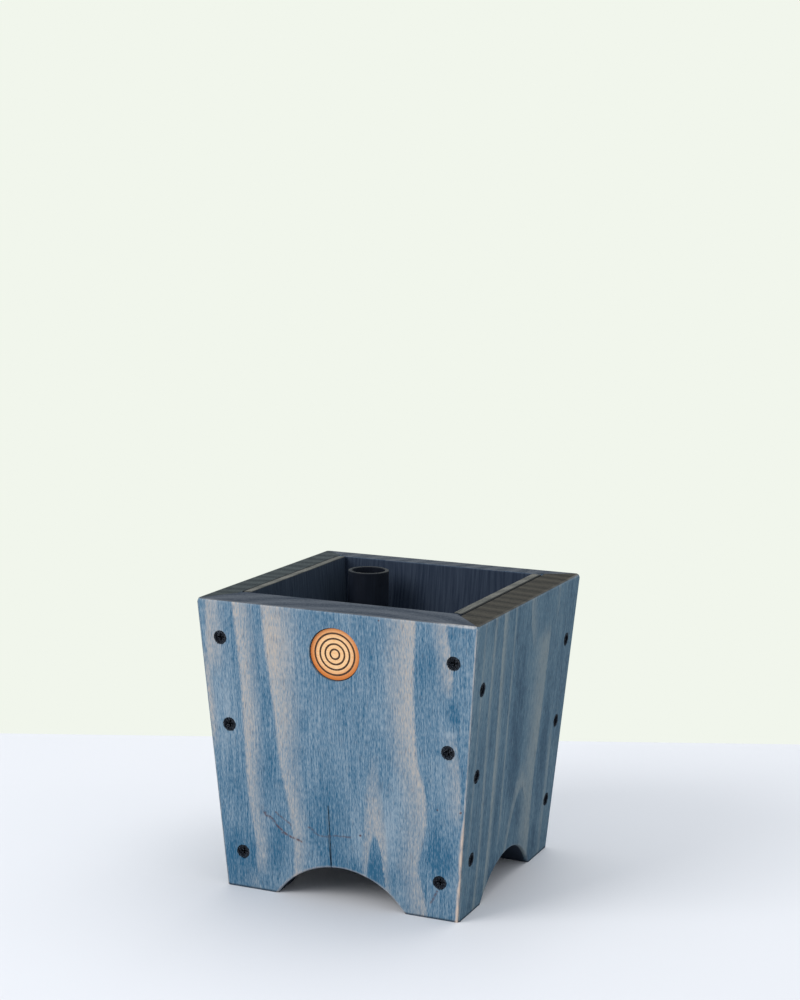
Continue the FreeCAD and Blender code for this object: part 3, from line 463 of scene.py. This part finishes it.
# Stain of the boards: deep, middle and pale blue, the bare wood of the bands, the end grain, how strongly
# the grain shows, and how much of their strength the bands keep at the foot.
# The side boards' blues are a darker copy of the front's: painted shade on the side boards.
STAINS_AND_SIDE_SHADE = {
    "front": {"Deep": (0.026, 0.110, 0.200, 1), "Middle": (0.127, 0.217, 0.302, 1),
              "Pale": (0.270, 0.345, 0.412, 1), "Bare": (0.490, 0.420, 0.358, 1),
              "End Dark": (0.026, 0.036, 0.052, 1), "End Pale": (0.100, 0.112, 0.130, 1),
              "Contrast": 1.0, "Foot Band": 0.62},
    # Painted shade: these side colours are the front's stain made darker.
    "right": {"Deep": (0.026, 0.062, 0.105, 1), "Middle": (0.083, 0.150, 0.206, 1),
              "Pale": (0.165, 0.232, 0.265, 1), "Bare": (0.255, 0.275, 0.265, 1),
              "End Dark": (0.016, 0.017, 0.017, 1), "End Pale": (0.074, 0.068, 0.056, 1),
              "Contrast": 0.8, "Foot Band": 1.0},
}
STAINS_AND_SIDE_SHADE["back"] = STAINS_AND_SIDE_SHADE["front"]
STAINS_AND_SIDE_SHADE["left"] = {**STAINS_AND_SIDE_SHADE["right"],
                  "End Dark": (0.016, 0.022, 0.026, 1), "End Pale": (0.066, 0.078, 0.080, 1)}

# Pale growth bands of each board: the side that the sharp line faces, the band's width at foot and rim,
# its strength, and points on the line as height and place across.
BANDS = {
    "front": [
        (-1, 6, 8, 1.0, ((13, -57), (20, -57), (30, -56.5), (45, -58.5), (60, -60.5), (100, -62),
                         (140, -63.5), (184, -67.5), (200, -69))),
        (-1, 4, 14, 1.0, ((-10, -33), (15, -31), (30, -30), (45, -31.5), (60, -33.5), (80, -37.5),
                          (120, -41.5), (160, -46), (184, -48), (200, -50))),
        (1, 8, 12, 1.0, ((-10, 57), (5, 57), (20, 54), (30, 52), (45, 55), (65, 58), (80, 57), (95, 53),
                         (115, 51.5), (150, 51), (184, 53), (200, 54))),
        (1, 5, 6, 0.85, ((143, 75), (160, 75.5), (172, 73.5), (200, 72.5))),
        (1, 5, 6, 0.50, ((62, 80), (90, 79.5), (114, 78))),
        (-1, 7, 8, 0.60, ((140, -86.5), (184, -86), (200, -86.5))),
        (-1, 3, 3, 0.75, ((92, -84), (120, -86), (150, -88))),
        (1, 9, 9, 0.50, ((-10, -54), (4, -55), (10, -56))),
    ],
    "right": [
        (-1, 2, 2, 0.55, ((40, -74), (80, -75.5), (130, -77), (200, -80))),
        (-1, 3, 3, 0.80, ((-10, -57), (40, -56), (60, -57), (90, -59), (130, -61.5), (200, -63))),
        (-1, 4, 5, 1.0, ((-10, -41), (45, -40), (70, -41), (100, -42.5), (120, -44), (150, -46),
                         (200, -49))),
        (-1, 2, 2, 0.80, ((35, -22), (60, -23), (90, -24.5), (130, -26), (200, -29))),
        (1, 13, 16, 0.80, ((-10, 38), (20, 37), (60, 36), (90, 38), (120, 40), (158, 42))),
        (1, 4, 4, 0.50, ((-10, 63), (40, 64), (85, 65))),
        (-1, 5, 7, 0.60, ((152, 10), (168, 3), (200, -3))),
        (1, 3, 3, 0.45, ((162, 54), (200, 54))),
    ],
    "back": [
        (-1, 8, 12, 0.90, ((-10, -47), (50, -44), (110, -43), (160, -45), (200, -47))),
        (-1, 4, 5, 0.70, ((-10, -65), (60, -68), (130, -70), (200, -72))),
        (1, 10, 8, 0.90, ((-10, 32), (45, 34), (100, 37), (150, 36), (200, 39))),
        (1, 5, 4, 0.75, ((-10, 59), (60, 61), (120, 64), (200, 68))),
    ],
    "left": [
        (-1, 3, 3, 0.60, ((-10, -61), (70, -58), (130, -59), (200, -61))),
        (-1, 9, 12, 0.60, ((-10, -27), (60, -30), (120, -31), (200, -30))),
        (1, 3, 3, 0.60, ((-10, 16), (80, 19), (140, 22), (200, 22))),
        (1, 5, 5, 0.85, ((-10, 46), (50, 48), (110, 51), (200, 53))),
    ],
}

# Arrow-shaped rings: centre, tip, steepness, fade and strength.
ARROWS = {
    "front": [(24, 47, 0.80, 46, 0.90)],
    "right": [(13, 58, 0.10, 18, 0.70)],
    "back": [(-5, 118, 0.30, 30, 0.75), (-4, 52, 0.22, 24, 0.70)],
    "left": [(-4, 88, 0.34, 26, 0.60)],
}

# Patches where the stain is deeper or paler: middle, half width and half height, and strength.
PATCHES = {
    "front": [
        ((-72, 66), (13, 58), -0.02), ((-68, 16), (20, 26), -0.30), ((-49, 70), (9, 40), -0.12),
        ((66, 42), (10, 24), -0.22), ((62, 108), (9, 9), -0.06), ((76, 130), (5, 9), -0.24),
        ((60, 158), (7, 22), -0.10), ((-22, 113), (4, 9), -0.22), ((24, 30), (6, 16), -0.16),
        ((-8, 52), (18, 36), -0.16), ((-42, 30), (8, 24), -0.24), ((14, 22), (40, 12), -0.16),
        ((-36, 165), (16, 26), 0.12), ((34, 120), (14, 40), 0.05), ((34, 44), (7, 20), 0.16),
        ((14, 36), (4, 14), 0.16),
        ((-82, 168), (9, 28), 0.16), ((-85, 128), (5, 40), 0.08), ((74, 85), (8, 26), 0.12),
        ((74, 117), (5, 3), 0.30), ((-75, 125), (9, 55), 0.12), ((38, 70), (12, 30), 0.20),
        ((-17, 115), (10, 40), 0.07),
        ((-50, 12), (14, 10), 0.06), ((60, 8), (12, 8), 0.06), ((5, 165), (30, 16), -0.05),
    ],
    "right": [
        ((-6, 105), (15, 66), -0.24), ((51, 66), (10, 80), -0.22), ((74, 120), (12, 70), -0.10),
        ((25, 100), (14, 44), 0.12), ((12, 44), (8, 14), -0.18), ((26, 146), (16, 18), 0.14),
        ((0, 10), (80, 16), -0.12), ((-31, 40), (9, 50), -0.12), ((-52, 60), (5, 70), -0.10),
        ((-70, 150), (14, 40), 0.08),
    ],
    "back": [((0, 85), (16, 40), -0.10), ((55, 60), (10, 50), -0.08), ((-60, 110), (12, 50), 0.06)],
    "left": [((35, 90), (10, 60), -0.10), ((-45, 70), (10, 60), -0.08), ((5, 140), (14, 30), 0.06)],
}

# Scratches and pits of the front board: start, end, width, wobble and strength. A pit has no wobble.
FRONT_MARKS = [
    ((-50, 51.5), (-44, 47), 1.5, 1.5, 0.85), ((-45, 48), (-37, 40), 1.1, 1.5, 0.85),
    ((-38, 40.5), (-25, 36), 1.1, 1.5, 0.80), ((-42, 53), (-32, 46), 1.0, 2.0, 0.60),
    ((-20, 46.5), (-13, 41.5), 1.0, 2.0, 0.55), ((-12, 41.5), (-3, 43), 0.9, 2.0, 0.55),
    ((-3, 43), (8, 44), 0.9, 2.0, 0.50), ((64, 18), (60, 10), 1.1, 2.0, 0.60),
    ((14.5, 46), (14.5, 46), 1.1, 0, 0.95), ((65, 69.5), (65, 69.5), 0.8, 0, 0.80),
    ((79.5, 69.5), (80, 70), 0.9, 0, 0.80), ((29.5, 182), (29.5, 182), 0.8, 0, 0.80),
]

# The hair crack in which the split of the front board runs out.
CRACK_TOP, CRACK_FOOT = (-6.4, 62), (-5.3, 24)

# Where each board starts in the grain, and how far its edges are worn.
SEEDS = {"front": (0, 0, 0), "right": (410, 130, 55), "back": (-370, 260, 90), "left": (210, -340, 170)}
WORN = {
    "front": {"Left": 0.18, "Right": 0.90, "Rim": 0.10, "Arch": 0.22, "Low Right": 0.7},
    "right": {"Left": 0.10, "Right": 0.20, "Rim": 0.06, "Arch": 0.06, "Low Right": 0.0},
    "back": {"Left": 0.25, "Right": 0.45, "Rim": 0.10, "Arch": 0.35, "Low Right": 0.3},
    "left": {"Left": 0.20, "Right": 0.25, "Rim": 0.10, "Arch": 0.30, "Low Right": 0.0},
}

# Growth lines: lowest and highest place, reach aside, and how far the stain beside them deepens.
LINE_FOOT, LINE_RIM, LINE_HALF = -10, 200, 100
LINE_SHADE = -0.04


def growth_line(wiring, y, points):
    """The place across the board that a curve through the points has at each height."""
    output = wiring.add("ShaderNodeFloatCurve", {"Value": wiring.linear(y, LINE_FOOT, LINE_RIM)})
    mapping = output.node.mapping
    ends = mapping.curves[0].points
    height = LINE_RIM - LINE_FOOT
    spots = [((up - LINE_FOOT) / height, across / LINE_HALF / 2 + 0.5) for up, across in points]
    ends[0].location = spots[0]
    ends[1].location = spots[-1]
    for spot in spots[1:-1]:
        ends.new(*spot)
    mapping.extend = "HORIZONTAL"
    mapping.update()
    return wiring.swing(output, 2 * LINE_HALF)


def growth(wiring, side, board, fleck):
    """The pale bands and arrows of one board in one mask, and how much paler or deeper the stain is."""
    y = wiring.parts(board, "Y")[0]
    masks, shades = [], []

    def keep(outputs, strength):
        masks.append(wiring.times(outputs["Mask"], strength))
        shades.append(wiring.times(outputs["Shade"], strength))

    for faces, foot_width, rim_width, strength, points in BANDS[side]:
        band = {"Board": board, "Fleck": fleck, "Line": growth_line(wiring, y, points), "Faces": faces,
                "Foot Width": foot_width, "Rim Width": rim_width,
                "Low": points[0][0], "High": points[-1][0]}
        keep(wiring.group(BAND, band).node.outputs, strength)
    for centre, tip, steepness, fade, strength in ARROWS[side]:
        arrow = {"Board": board, "Fleck": fleck, "Centre": centre, "Tip": tip,
                 "Steepness": steepness, "Fade": fade}
        keep(wiring.group(ARROW, arrow).node.outputs, strength)
    lift = wiring.times(wiring.strongest(shades), LINE_SHADE)
    for middle, reach, strength in PATCHES[side]:
        patch = wiring.group(PATCH, {"Board": board, "Centre": (*middle, 0), "Reach": (*reach, 1)})
        lift = wiring.plus(lift, wiring.times(patch, strength))
    return wiring.strongest(masks), lift


def make_panel_material(side):
    """Stained pine with the growth figure, marks, screw holes and wear of one board, with painted shade:
    darker blues on the side boards, under the arch, along the foot and in the screw holes.
    """
    material, wiring, shader = new_material(f"stained_pine_{side}", gloss=0.10)
    board = own_place(wiring, board_matrix(side))
    grain = wiring.group(FIBRES, {"Board": board, "Seed": SEEDS[side]}).node.outputs

    def stroke(start, end, width, wobble, faintest):
        return wiring.group(STROKE, {"Board": board, "Start": (*start, 0), "End": (*end, 0),
                                     "Width": width, "Wobble": wobble, "Faintest": faintest})

    holes = dict(zip(SCREW_ROWS, SCREW_HEIGHTS[side]))
    dark = [wiring.group(HOLES, {"Board": board, "Fleck": grain["Fleck"], **holes})]
    marks = [0.0]
    if side == "front":
        dark.append(stroke(CRACK_TOP, CRACK_FOOT, width=0.6, wobble=0.8, faintest=0.8))
        for start, end, width, wobble, strength in FRONT_MARKS:
            faintest = 0.2 if wobble else 1.0
            marks.append(wiring.times(stroke(start, end, width, wobble, faintest), strength))
    band, lift = growth(wiring, side, board, grain["Fleck"])
    stain_and_shade = wiring.group(STAIN_AND_SHADE, {
        "Board": board, **{name: grain[name] for name in ("Fleck", "Fibre", "Pore", "Cloud", "Rings")},
        "Band": band, "Lift": lift, "Mark": wiring.strongest(marks), "Thickness": THICKNESS[side],
        "Hole": wiring.strongest(dark),
        "Wear": wiring.group(WEAR, {"Board": board, "Seed": SEEDS[side], **WORN[side]}),
        **STAINS_AND_SIDE_SHADE[side]}).node.outputs
    wiring.feed(shader["Base Color"], stain_and_shade["Colour"])
    wiring.feed(shader["Roughness"], stain_and_shade["Roughness"])
    wiring.feed(shader["Normal"], bump(wiring, grain["Height"], strength=0.4, distance=0.0004))
    return material


def make_lining_material(side):
    """Thin stained board whose top shows grey and whose face is as dark as the other inner walls."""
    material, wiring, shader = new_material(f"lining_pine_{side}", gloss=0.10)
    shift = Matrix.Translation((0, 0, -SIDE_THICKNESS))
    board = own_place(wiring, board_matrix(side) @ shift)
    grain = wiring.group(FIBRES, {"Board": board, "Seed": (77, -140, 30)}).node.outputs
    y, z = wiring.parts(board, "YZ")
    face = wiring.ramp(grain["Fibre"], [(0.3, (0.012, 0.021, 0.039, 1)),
                                        (0.7, (0.038, 0.054, 0.078, 1))])
    top = wiring.ramp(grain["Rings"], [(0.34, (0.052, 0.056, 0.054, 1)),
                                       (0.66, (0.170, 0.166, 0.148, 1))])
    # Painted shadow: a dark strip along the lining's top next to the panel, for the gap between them.
    joint_gap_shade = wiring.smooth(z, -1.7, -1.0)
    top = wiring.mix(joint_gap_shade, top, (0.008, 0.010, 0.013, 1))
    at_top = wiring.smooth(y, BOARD_LENGTH - 0.7, BOARD_LENGTH - 0.2)
    wiring.feed(shader["Base Color"], wiring.mix(at_top, face, top))
    wiring.feed(shader["Roughness"], wiring.linear(grain["Fleck"], 0.2, 0.8, 0.66, 0.85))
    wiring.feed(shader["Normal"], bump(wiring, grain["Height"], strength=0.35, distance=0.0004))
    return material


def make_bare_pine_material(name, turn, seed):
    """Sawn pine with its grain along the piece, dark blue from the underside of the floor down as painted
    shade under the floor.
    """
    material, wiring, shader = new_material(name, gloss=0.25)
    board = own_place(wiring, Euler(turn).to_matrix().to_4x4() @ Matrix.Scale(MILLIMETRE, 4))
    grain = wiring.group(FIBRES, {"Board": board, "Seed": seed}).node.outputs
    tone = wiring.plus(wiring.times(grain["Fibre"], 0.7), wiring.times(grain["Cloud"], 0.5))
    wood = wiring.ramp(tone, [(0.35, (0.30, 0.19, 0.10, 1)), (0.6, (0.52, 0.37, 0.22, 1)),
                              (0.85, (0.66, 0.52, 0.35, 1))])
    saw_marks = wiring.noise(board, (0.02, 0.55, 0.02), 2.0)
    wood = wiring.mix(wiring.times(grain["Pore"], 0.35), wood, (0.22, 0.12, 0.06, 1))
    wood = wiring.mix(wiring.smooth(saw_marks, 0.55, 0.7, 0.0, 0.18), wood, (0.30, 0.22, 0.14, 1))
    z = wiring.parts(board, "Z")[0]
    # Painted shade: everything from the floor's underside down is dark blue, for the shade under the
    # floor.
    under_floor_shade = wiring.ramp(grain["Fibre"], [(0.3, (0.012, 0.022, 0.042, 1)),
                                          (0.7, (0.040, 0.058, 0.088, 1))])
    underside = wiring.smooth(z, FLOOR_BASE + 3.0, FLOOR_BASE + 0.5)
    wood = wiring.mix(underside, wood, under_floor_shade)
    wiring.feed(shader["Base Color"], wood)
    wiring.feed(shader["Roughness"], wiring.linear(grain["Fleck"], 0.2, 0.8, 0.7, 0.9))
    height = wiring.plus(grain["Height"], wiring.times(saw_marks, 0.6))
    wiring.feed(shader["Normal"], bump(wiring, height, strength=0.4, distance=0.0004))
    return material


def make_badge_material():
    """Pale wood scorched round its edge, most of all below, with brown burnt rings."""
    material, wiring, shader = new_material("badge_wood", gloss=0.35)
    place = own_place(wiring, board_matrix("front") @ Matrix.Translation((0, BADGE_HEIGHT, -BADGE_SINK)))
    x, y, z = wiring.parts(place)
    radius = wiring.vector("LENGTH", wiring.joined(x, y))
    grain = wiring.group(FIBRES, {"Board": wiring.joined(y, x, z), "Seed": (31, 12, 90)}).node.outputs
    wood = wiring.ramp(grain["Fleck"], [(0.3, (0.86, 0.46, 0.19, 1)),
                                        (0.7, (0.95, 0.63, 0.34, 1))])
    heavier_below = wiring.linear(y, -BADGE_RADIUS, BADGE_RADIUS, 1.6, -0.6)
    burn = wiring.plus(wiring.plus(radius, wiring.times(grain["Cloud"], 2.0)), heavier_below)
    scorched = wiring.smooth(burn, BADGE_RADIUS - 5.5, BADGE_RADIUS + 1.6)
    wood = wiring.mix(scorched, wood, (0.66, 0.19, 0.030, 1))
    rim = wiring.smooth(radius, BADGE_RADIUS - 0.6, BADGE_RADIUS - 0.2)
    wood = wiring.mix(rim, wood, (0.030, 0.016, 0.010, 1))
    char = wiring.ramp(grain["Fleck"], [(0.35, (0.040, 0.020, 0.012, 1)),
                                        (0.7, (0.150, 0.078, 0.036, 1))])
    sunk_ring = wiring.smooth(z, -0.12, -0.4)
    wood = wiring.mix(sunk_ring, wood, char)
    wiring.feed(shader["Base Color"], wood)
    wiring.feed(shader["Roughness"], wiring.linear(grain["Fleck"], 0.3, 0.7, 0.45, 0.6))
    wiring.feed(shader["Normal"], bump(wiring, grain["Height"], strength=0.2, distance=0.0003))
    return material


def make_screw_material():
    """Black coated steel, rubbed to grey on the high spots."""
    material, wiring, shader = new_material("black_screw", gloss=0.15)
    place = own_place(wiring, Matrix.Scale(MILLIMETRE, 4))
    mottle = wiring.noise(place, (1.6, 1.6, 1.6), 4.0, 0.7)
    rubbed = wiring.smooth(mottle, 0.56, 0.67)
    coating, steel = (0.003, 0.005, 0.010, 1), (0.190, 0.210, 0.240, 1)
    wiring.feed(shader["Base Color"], wiring.mix(rubbed, coating, steel))
    wiring.feed(shader["Metallic"], wiring.smooth(mottle, 0.58, 0.7, 0.0, 0.9))
    wiring.feed(shader["Roughness"], wiring.smooth(mottle, 0.35, 0.7, 0.62, 0.34))
    wiring.feed(shader["Normal"], bump(wiring, mottle, strength=0.5, distance=0.0003))
    return material


def make_plastic_material(name, dark, light, rough):
    """Black plastic with a fine texture, upright drawing lines and dust."""
    material, wiring, shader = new_material(name, gloss=0.15)
    place = own_place(wiring, Matrix.Scale(MILLIMETRE, 4))
    stipple = wiring.noise(place, (2.2, 2.2, 2.2), 3.0, 0.6)
    lines = wiring.noise(place, (1.4, 1.4, 0.03), 3.0, 0.6)
    dust = wiring.noise(place, (0.05, 0.05, 0.05), 4.0, 0.6)
    tone = wiring.plus(wiring.times(lines, 0.5), wiring.times(dust, 0.6))
    wiring.feed(shader["Base Color"], wiring.mix(wiring.smooth(tone, 0.4, 0.8), dark, light))
    wiring.feed(shader["Roughness"], wiring.smooth(tone, 0.35, 0.75, rough - 0.07, rough + 0.12))
    height = wiring.plus(wiring.times(stipple, 0.6), wiring.times(lines, 0.4))
    wiring.feed(shader["Normal"], bump(wiring, height, strength=0.18, distance=0.0002))
    return material


def make_torn_material():
    """Splinters soaked with stain: mostly black, with a few pale spots of dry wood that also stand in for
    glints as painted highlights.
    """
    material, wiring, shader = new_material("torn_pine", gloss=0.5)
    place = own_place(wiring, Matrix.Scale(MILLIMETRE, 4))
    mottle = wiring.noise(place, (0.9, 0.9, 0.5), 3.0, 0.7)
    # The pale end of the ramp is dry wood, and it is also a painted highlight for glints in the holes.
    torn = wiring.ramp(mottle, [(0.46, (0.003, 0.006, 0.013, 1)), (0.62, (0.022, 0.036, 0.060, 1)),
                                (0.74, (0.200, 0.220, 0.240, 1))])
    wiring.feed(shader["Base Color"], torn)
    wiring.feed(shader["Roughness"], wiring.smooth(mottle, 0.3, 0.7, 0.75, 0.9))
    return material


def dress(material, *pieces):
    for piece in pieces:
        mesh = nodes[piece].data
        mesh.materials.clear()
        mesh.materials.append(material)


for side in TURNS:
    dress(make_panel_material(side), f"{side}_panel")
for side in ("left", "right"):
    dress(make_lining_material(side), f"{side}_lining")
pine_along_x = make_bare_pine_material("bare_pine_along_x", turn=(0, 0, math.pi / 2), seed=(120, 60, 0))
dress(pine_along_x, "front_cleat", "back_cleat", "floor_board")
pine_along_y = make_bare_pine_material("bare_pine_along_y", turn=(0, 0, 0), seed=(-60, 210, 40))
dress(pine_along_y, "left_cleat", "right_cleat")
dress(make_badge_material(), "badge")
dress(make_screw_material(), *[node for node in nodes if node.endswith("_screws")])
tray_black = make_plastic_material(
    "tray_black", dark=(0.012, 0.013, 0.015, 1), light=(0.040, 0.041, 0.044, 1), rough=0.5)
dress(tray_black, "water_tray", "soil_shelf", "wick_basket")
tube_black = make_plastic_material(
    "tube_black", dark=(0.003, 0.005, 0.011, 1), light=(0.008, 0.012, 0.022, 1), rough=0.55)
dress(tube_black, "fill_tube")


# Torn fibres: short splinters round the screw holes, lying along the grain
def make_fibre_tree():
    """A ring of splinters just inside each hole, each pointing over the hole."""
    tree, wiring, given, result = new_group(
        "torn_fibres",
        {"Holes": GEOMETRY, "Hole Radius": FLOAT, "Fibres": WHOLE_NUMBER, "Length": FLOAT,
         "Thickness": FLOAT, "Seed": WHOLE_NUMBER, "Material": MATERIAL},
        {"Geometry": GEOMETRY}, "GeometryNodeTree")

    def direction(name):
        return wiring.add("GeometryNodeInputNamedAttribute", {"Name": name}, data_type="FLOAT_VECTOR")

    def chance(low, high, draw):
        values = {CHANCE_LEAST: low, CHANCE_MOST: high, "Seed": wiring.plus(given["Seed"], draw)}
        return wiring.add("FunctionNodeRandomValue", values, CHANCE_RESULT, data_type="FLOAT")

    holes = {"Geometry": given["Holes"], "Amount": given["Fibres"]}
    copies = wiring.add("GeometryNodeDuplicateElements", holes, domain="POINT").node.outputs
    ring_place = wiring.plus(copies["Duplicate Index"], chance(-0.6, 0.6, 1))
    angle = wiring.times(wiring.math("DIVIDE", ring_place, given["Fibres"]), math.tau)
    cosine, sine = wiring.math("COSINE", angle), wiring.math("SINE", angle)
    radius = wiring.times(given["Hole Radius"], chance(0.80, 0.96, 2))
    across = wiring.scaled(direction("across"), wiring.times(cosine, radius))
    up = wiring.scaled(direction("up"), wiring.times(sine, radius))
    moved = wiring.add("GeometryNodeSetPosition",
                       {"Geometry": copies["Geometry"], "Offset": wiring.vector("ADD", across, up)})
    inward = wiring.times(wiring.math("SIGN", sine), -1.0)
    lean_out = wiring.scaled(direction("out"), chance(-0.3, 0.4, 3))
    lie = wiring.vector("ADD", wiring.scaled(direction("up"), inward), lean_out)
    lie = wiring.vector("ADD", lie, wiring.scaled(direction("across"), chance(-0.6, 0.6, 4)))
    turn = wiring.add("FunctionNodeAlignRotationToVector", {"Vector": lie}, axis="Z")
    size = wiring.joined(chance(0.6, 1.6, 5), chance(0.4, 1.0, 6), chance(0.35, 1.4, 7))
    cone = {"Vertices": 5, "Radius Top": 0.0, "Radius Bottom": given["Thickness"],
            "Depth": given["Length"]}
    splinter = wiring.add("GeometryNodeMeshCone", cone)
    placed = wiring.add("GeometryNodeInstanceOnPoints",
                        {"Points": moved, "Instance": splinter, "Rotation": turn, "Scale": size})
    solid = wiring.add("GeometryNodeRealizeInstances", {"Geometry": placed})
    coloured = wiring.add("GeometryNodeSetMaterial", {"Geometry": solid, "Material": given["Material"]})
    wiring.feed(result["Geometry"], coloured)
    return tree


# How far below the outer face the splinters lie, in millimetres.
SPLINTER_SINK = 0.15


def hole_points():
    """The middle of every corner screw's hole, with the directions of its board."""
    points = []
    for side, heights in SCREW_HEIGHTS.items():
        matrix = board_matrix(side)
        axes = [column.to_3d().normalized() for column in matrix.col[:3]]
        for height in heights:
            edge = BASE_HALF + SLOPE * height - SCREW_EDGE_DISTANCE
            for across in (-edge, edge):
                middle = Vector((across, height / math.cos(LEAN), -SPLINTER_SINK))
                points.append((matrix @ middle, axes))
    return points


def make_torn_fibres():
    points = hole_points()
    mesh = bpy.data.meshes.new("torn_fibres")
    mesh.from_pydata([place for place, axes in points], [], [])
    for index, name in enumerate(("across", "up", "out")):
        layer = mesh.attributes.new(name, "FLOAT_VECTOR", "POINT")
        for point, (place, axes) in zip(layer.data, points):
            point.vector = axes[index]
    holes = bpy.data.objects.new("torn_fibres_source", mesh)
    bpy.context.scene.collection.objects.link(holes)
    modifier = holes.modifiers.new("fibres", "NODES")
    modifier.node_group = make_fibre_tree()
    sizes = {"Hole Radius": SCREW_HOLE_RADIUS * MILLIMETRE, "Fibres": 60, "Length": 1.6 * MILLIMETRE,
             "Thickness": 0.22 * MILLIMETRE, "Seed": 11, "Material": make_torn_material()}
    for item in modifier.node_group.interface.items_tree:
        if item.name in sizes:
            modifier[item.identifier] = sizes[item.name]
    evaluated = holes.evaluated_get(bpy.context.evaluated_depsgraph_get())
    finished = bpy.data.meshes.new_from_object(evaluated)
    bpy.data.objects.remove(holes)
    piece = bpy.data.objects.new("torn_fibres", finished)
    bpy.context.scene.collection.objects.link(piece)
    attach(piece, "case")


make_torn_fibres()


# Camera: turned to the right of the front, a little above, with a small roll.
CAMERA_TURN, CAMERA_RISE, CAMERA_ROLL = 0.4092, 0.1524, 0.0138
CAMERA_TARGET = Vector((1.887, 0.818, 238.02)) * MILLIMETRE
CAMERA_DISTANCE = 1.24315
FOCAL_PIXELS = 1983.95
FRAME_HEIGHT = 1000
SENSOR_SIZE = 36


def make_camera():
    data = bpy.data.cameras.new("camera")
    data.sensor_width = SENSOR_SIZE
    data.lens = FOCAL_PIXELS / FRAME_HEIGHT * SENSOR_SIZE
    camera = bpy.data.objects.new("camera", data)
    back = Vector((math.sin(CAMERA_TURN) * math.cos(CAMERA_RISE),
                   -math.cos(CAMERA_TURN) * math.cos(CAMERA_RISE), math.sin(CAMERA_RISE)))
    camera.location = CAMERA_TARGET + back * CAMERA_DISTANCE
    aim = (-back).to_track_quat("-Z", "Y").to_matrix().to_4x4()
    camera.rotation_euler = (aim @ Matrix.Rotation(CAMERA_ROLL, 4, "Z")).to_euler()
    bpy.context.scene.collection.objects.link(camera)
    bpy.context.scene.camera = camera


# Table and light
TABLE_GREY, TABLE_WHITE = (0.745, 0.750, 0.775, 1), (0.785, 0.785, 0.805, 1)
SOFT_LIGHT, WALL_PALE = (0.60, 0.64, 0.69, 1), (0.88, 0.92, 0.84, 1)

# Lamps, all aimed at the middle of the planter: place, size and power.
LAMP_TARGET = Vector((0, 0, 0.1))
LAMPS = {
    "key": ((-1.95, -2.55, 2.2), 2.1, 76.5),
    "fill": ((1.9, -0.9, 0.9), 1.2, 2),
    "top": ((0.2, 0.6, 1.9), 1.5, 14),
}


def make_table():
    """A white table top that ends a little way behind the planter."""
    away = Vector((-math.sin(CAMERA_TURN), math.cos(CAMERA_TURN), 0))
    aside = Vector((away.y, -away.x, 0))
    near, far, wide = -2.4, 0.30, 2.2
    corners = [away * near - aside * wide, away * near + aside * wide,
               away * far + aside * wide, away * far - aside * wide]
    mesh = bpy.data.meshes.new("table")
    mesh.from_pydata(corners, [], [(0, 1, 2, 3)])
    table = bpy.data.objects.new("table", mesh)
    bpy.context.scene.collection.objects.link(table)
    material, wiring, shader = new_material("white_table", gloss=0.15)
    place = wiring.add("ShaderNodeTexCoord", {}, "Object")
    haze = wiring.add("ShaderNodeTexNoise", {"Vector": place, "Scale": 3.0, "Detail": 2.0})
    wiring.feed(shader["Base Color"], wiring.mix(haze, TABLE_GREY, TABLE_WHITE))
    shader["Roughness"].default_value = 0.6
    mesh.materials.append(material)


def make_lamp(name, place, size, power):
    lamp = bpy.data.lights.new(name, "AREA")
    lamp.size = size
    lamp.energy = power
    item = bpy.data.objects.new(name, lamp)
    item.location = place
    item.rotation_mode = "QUATERNION"
    item.rotation_quaternion = (LAMP_TARGET - Vector(place)).to_track_quat("-Z", "Y")
    bpy.context.scene.collection.objects.link(item)


def make_world():
    """Soft light all round, with a pale wall where the camera looks past the table."""
    world = bpy.data.worlds.new("studio")
    world.use_nodes = True
    bpy.context.scene.world = world
    wiring = Wiring(world.node_tree)
    background = world.node_tree.nodes["Background"]
    seen = wiring.add("ShaderNodeLightPath", {}).node.outputs
    direct = wiring.plus(seen["Is Camera Ray"], seen["Is Glossy Ray"], clamp=True)
    direct = wiring.plus(direct, seen["Is Transmission Ray"], clamp=True)
    wiring.feed(background.inputs["Color"], wiring.mix(direct, SOFT_LIGHT, WALL_PALE))
    background.inputs["Strength"].default_value = 1.0


make_camera()
make_table()
for lamp_name, (lamp_place, lamp_size, lamp_power) in LAMPS.items():
    make_lamp(lamp_name, lamp_place, lamp_size, lamp_power)
make_world()
bpy.context.scene.view_settings.view_transform = "Standard"
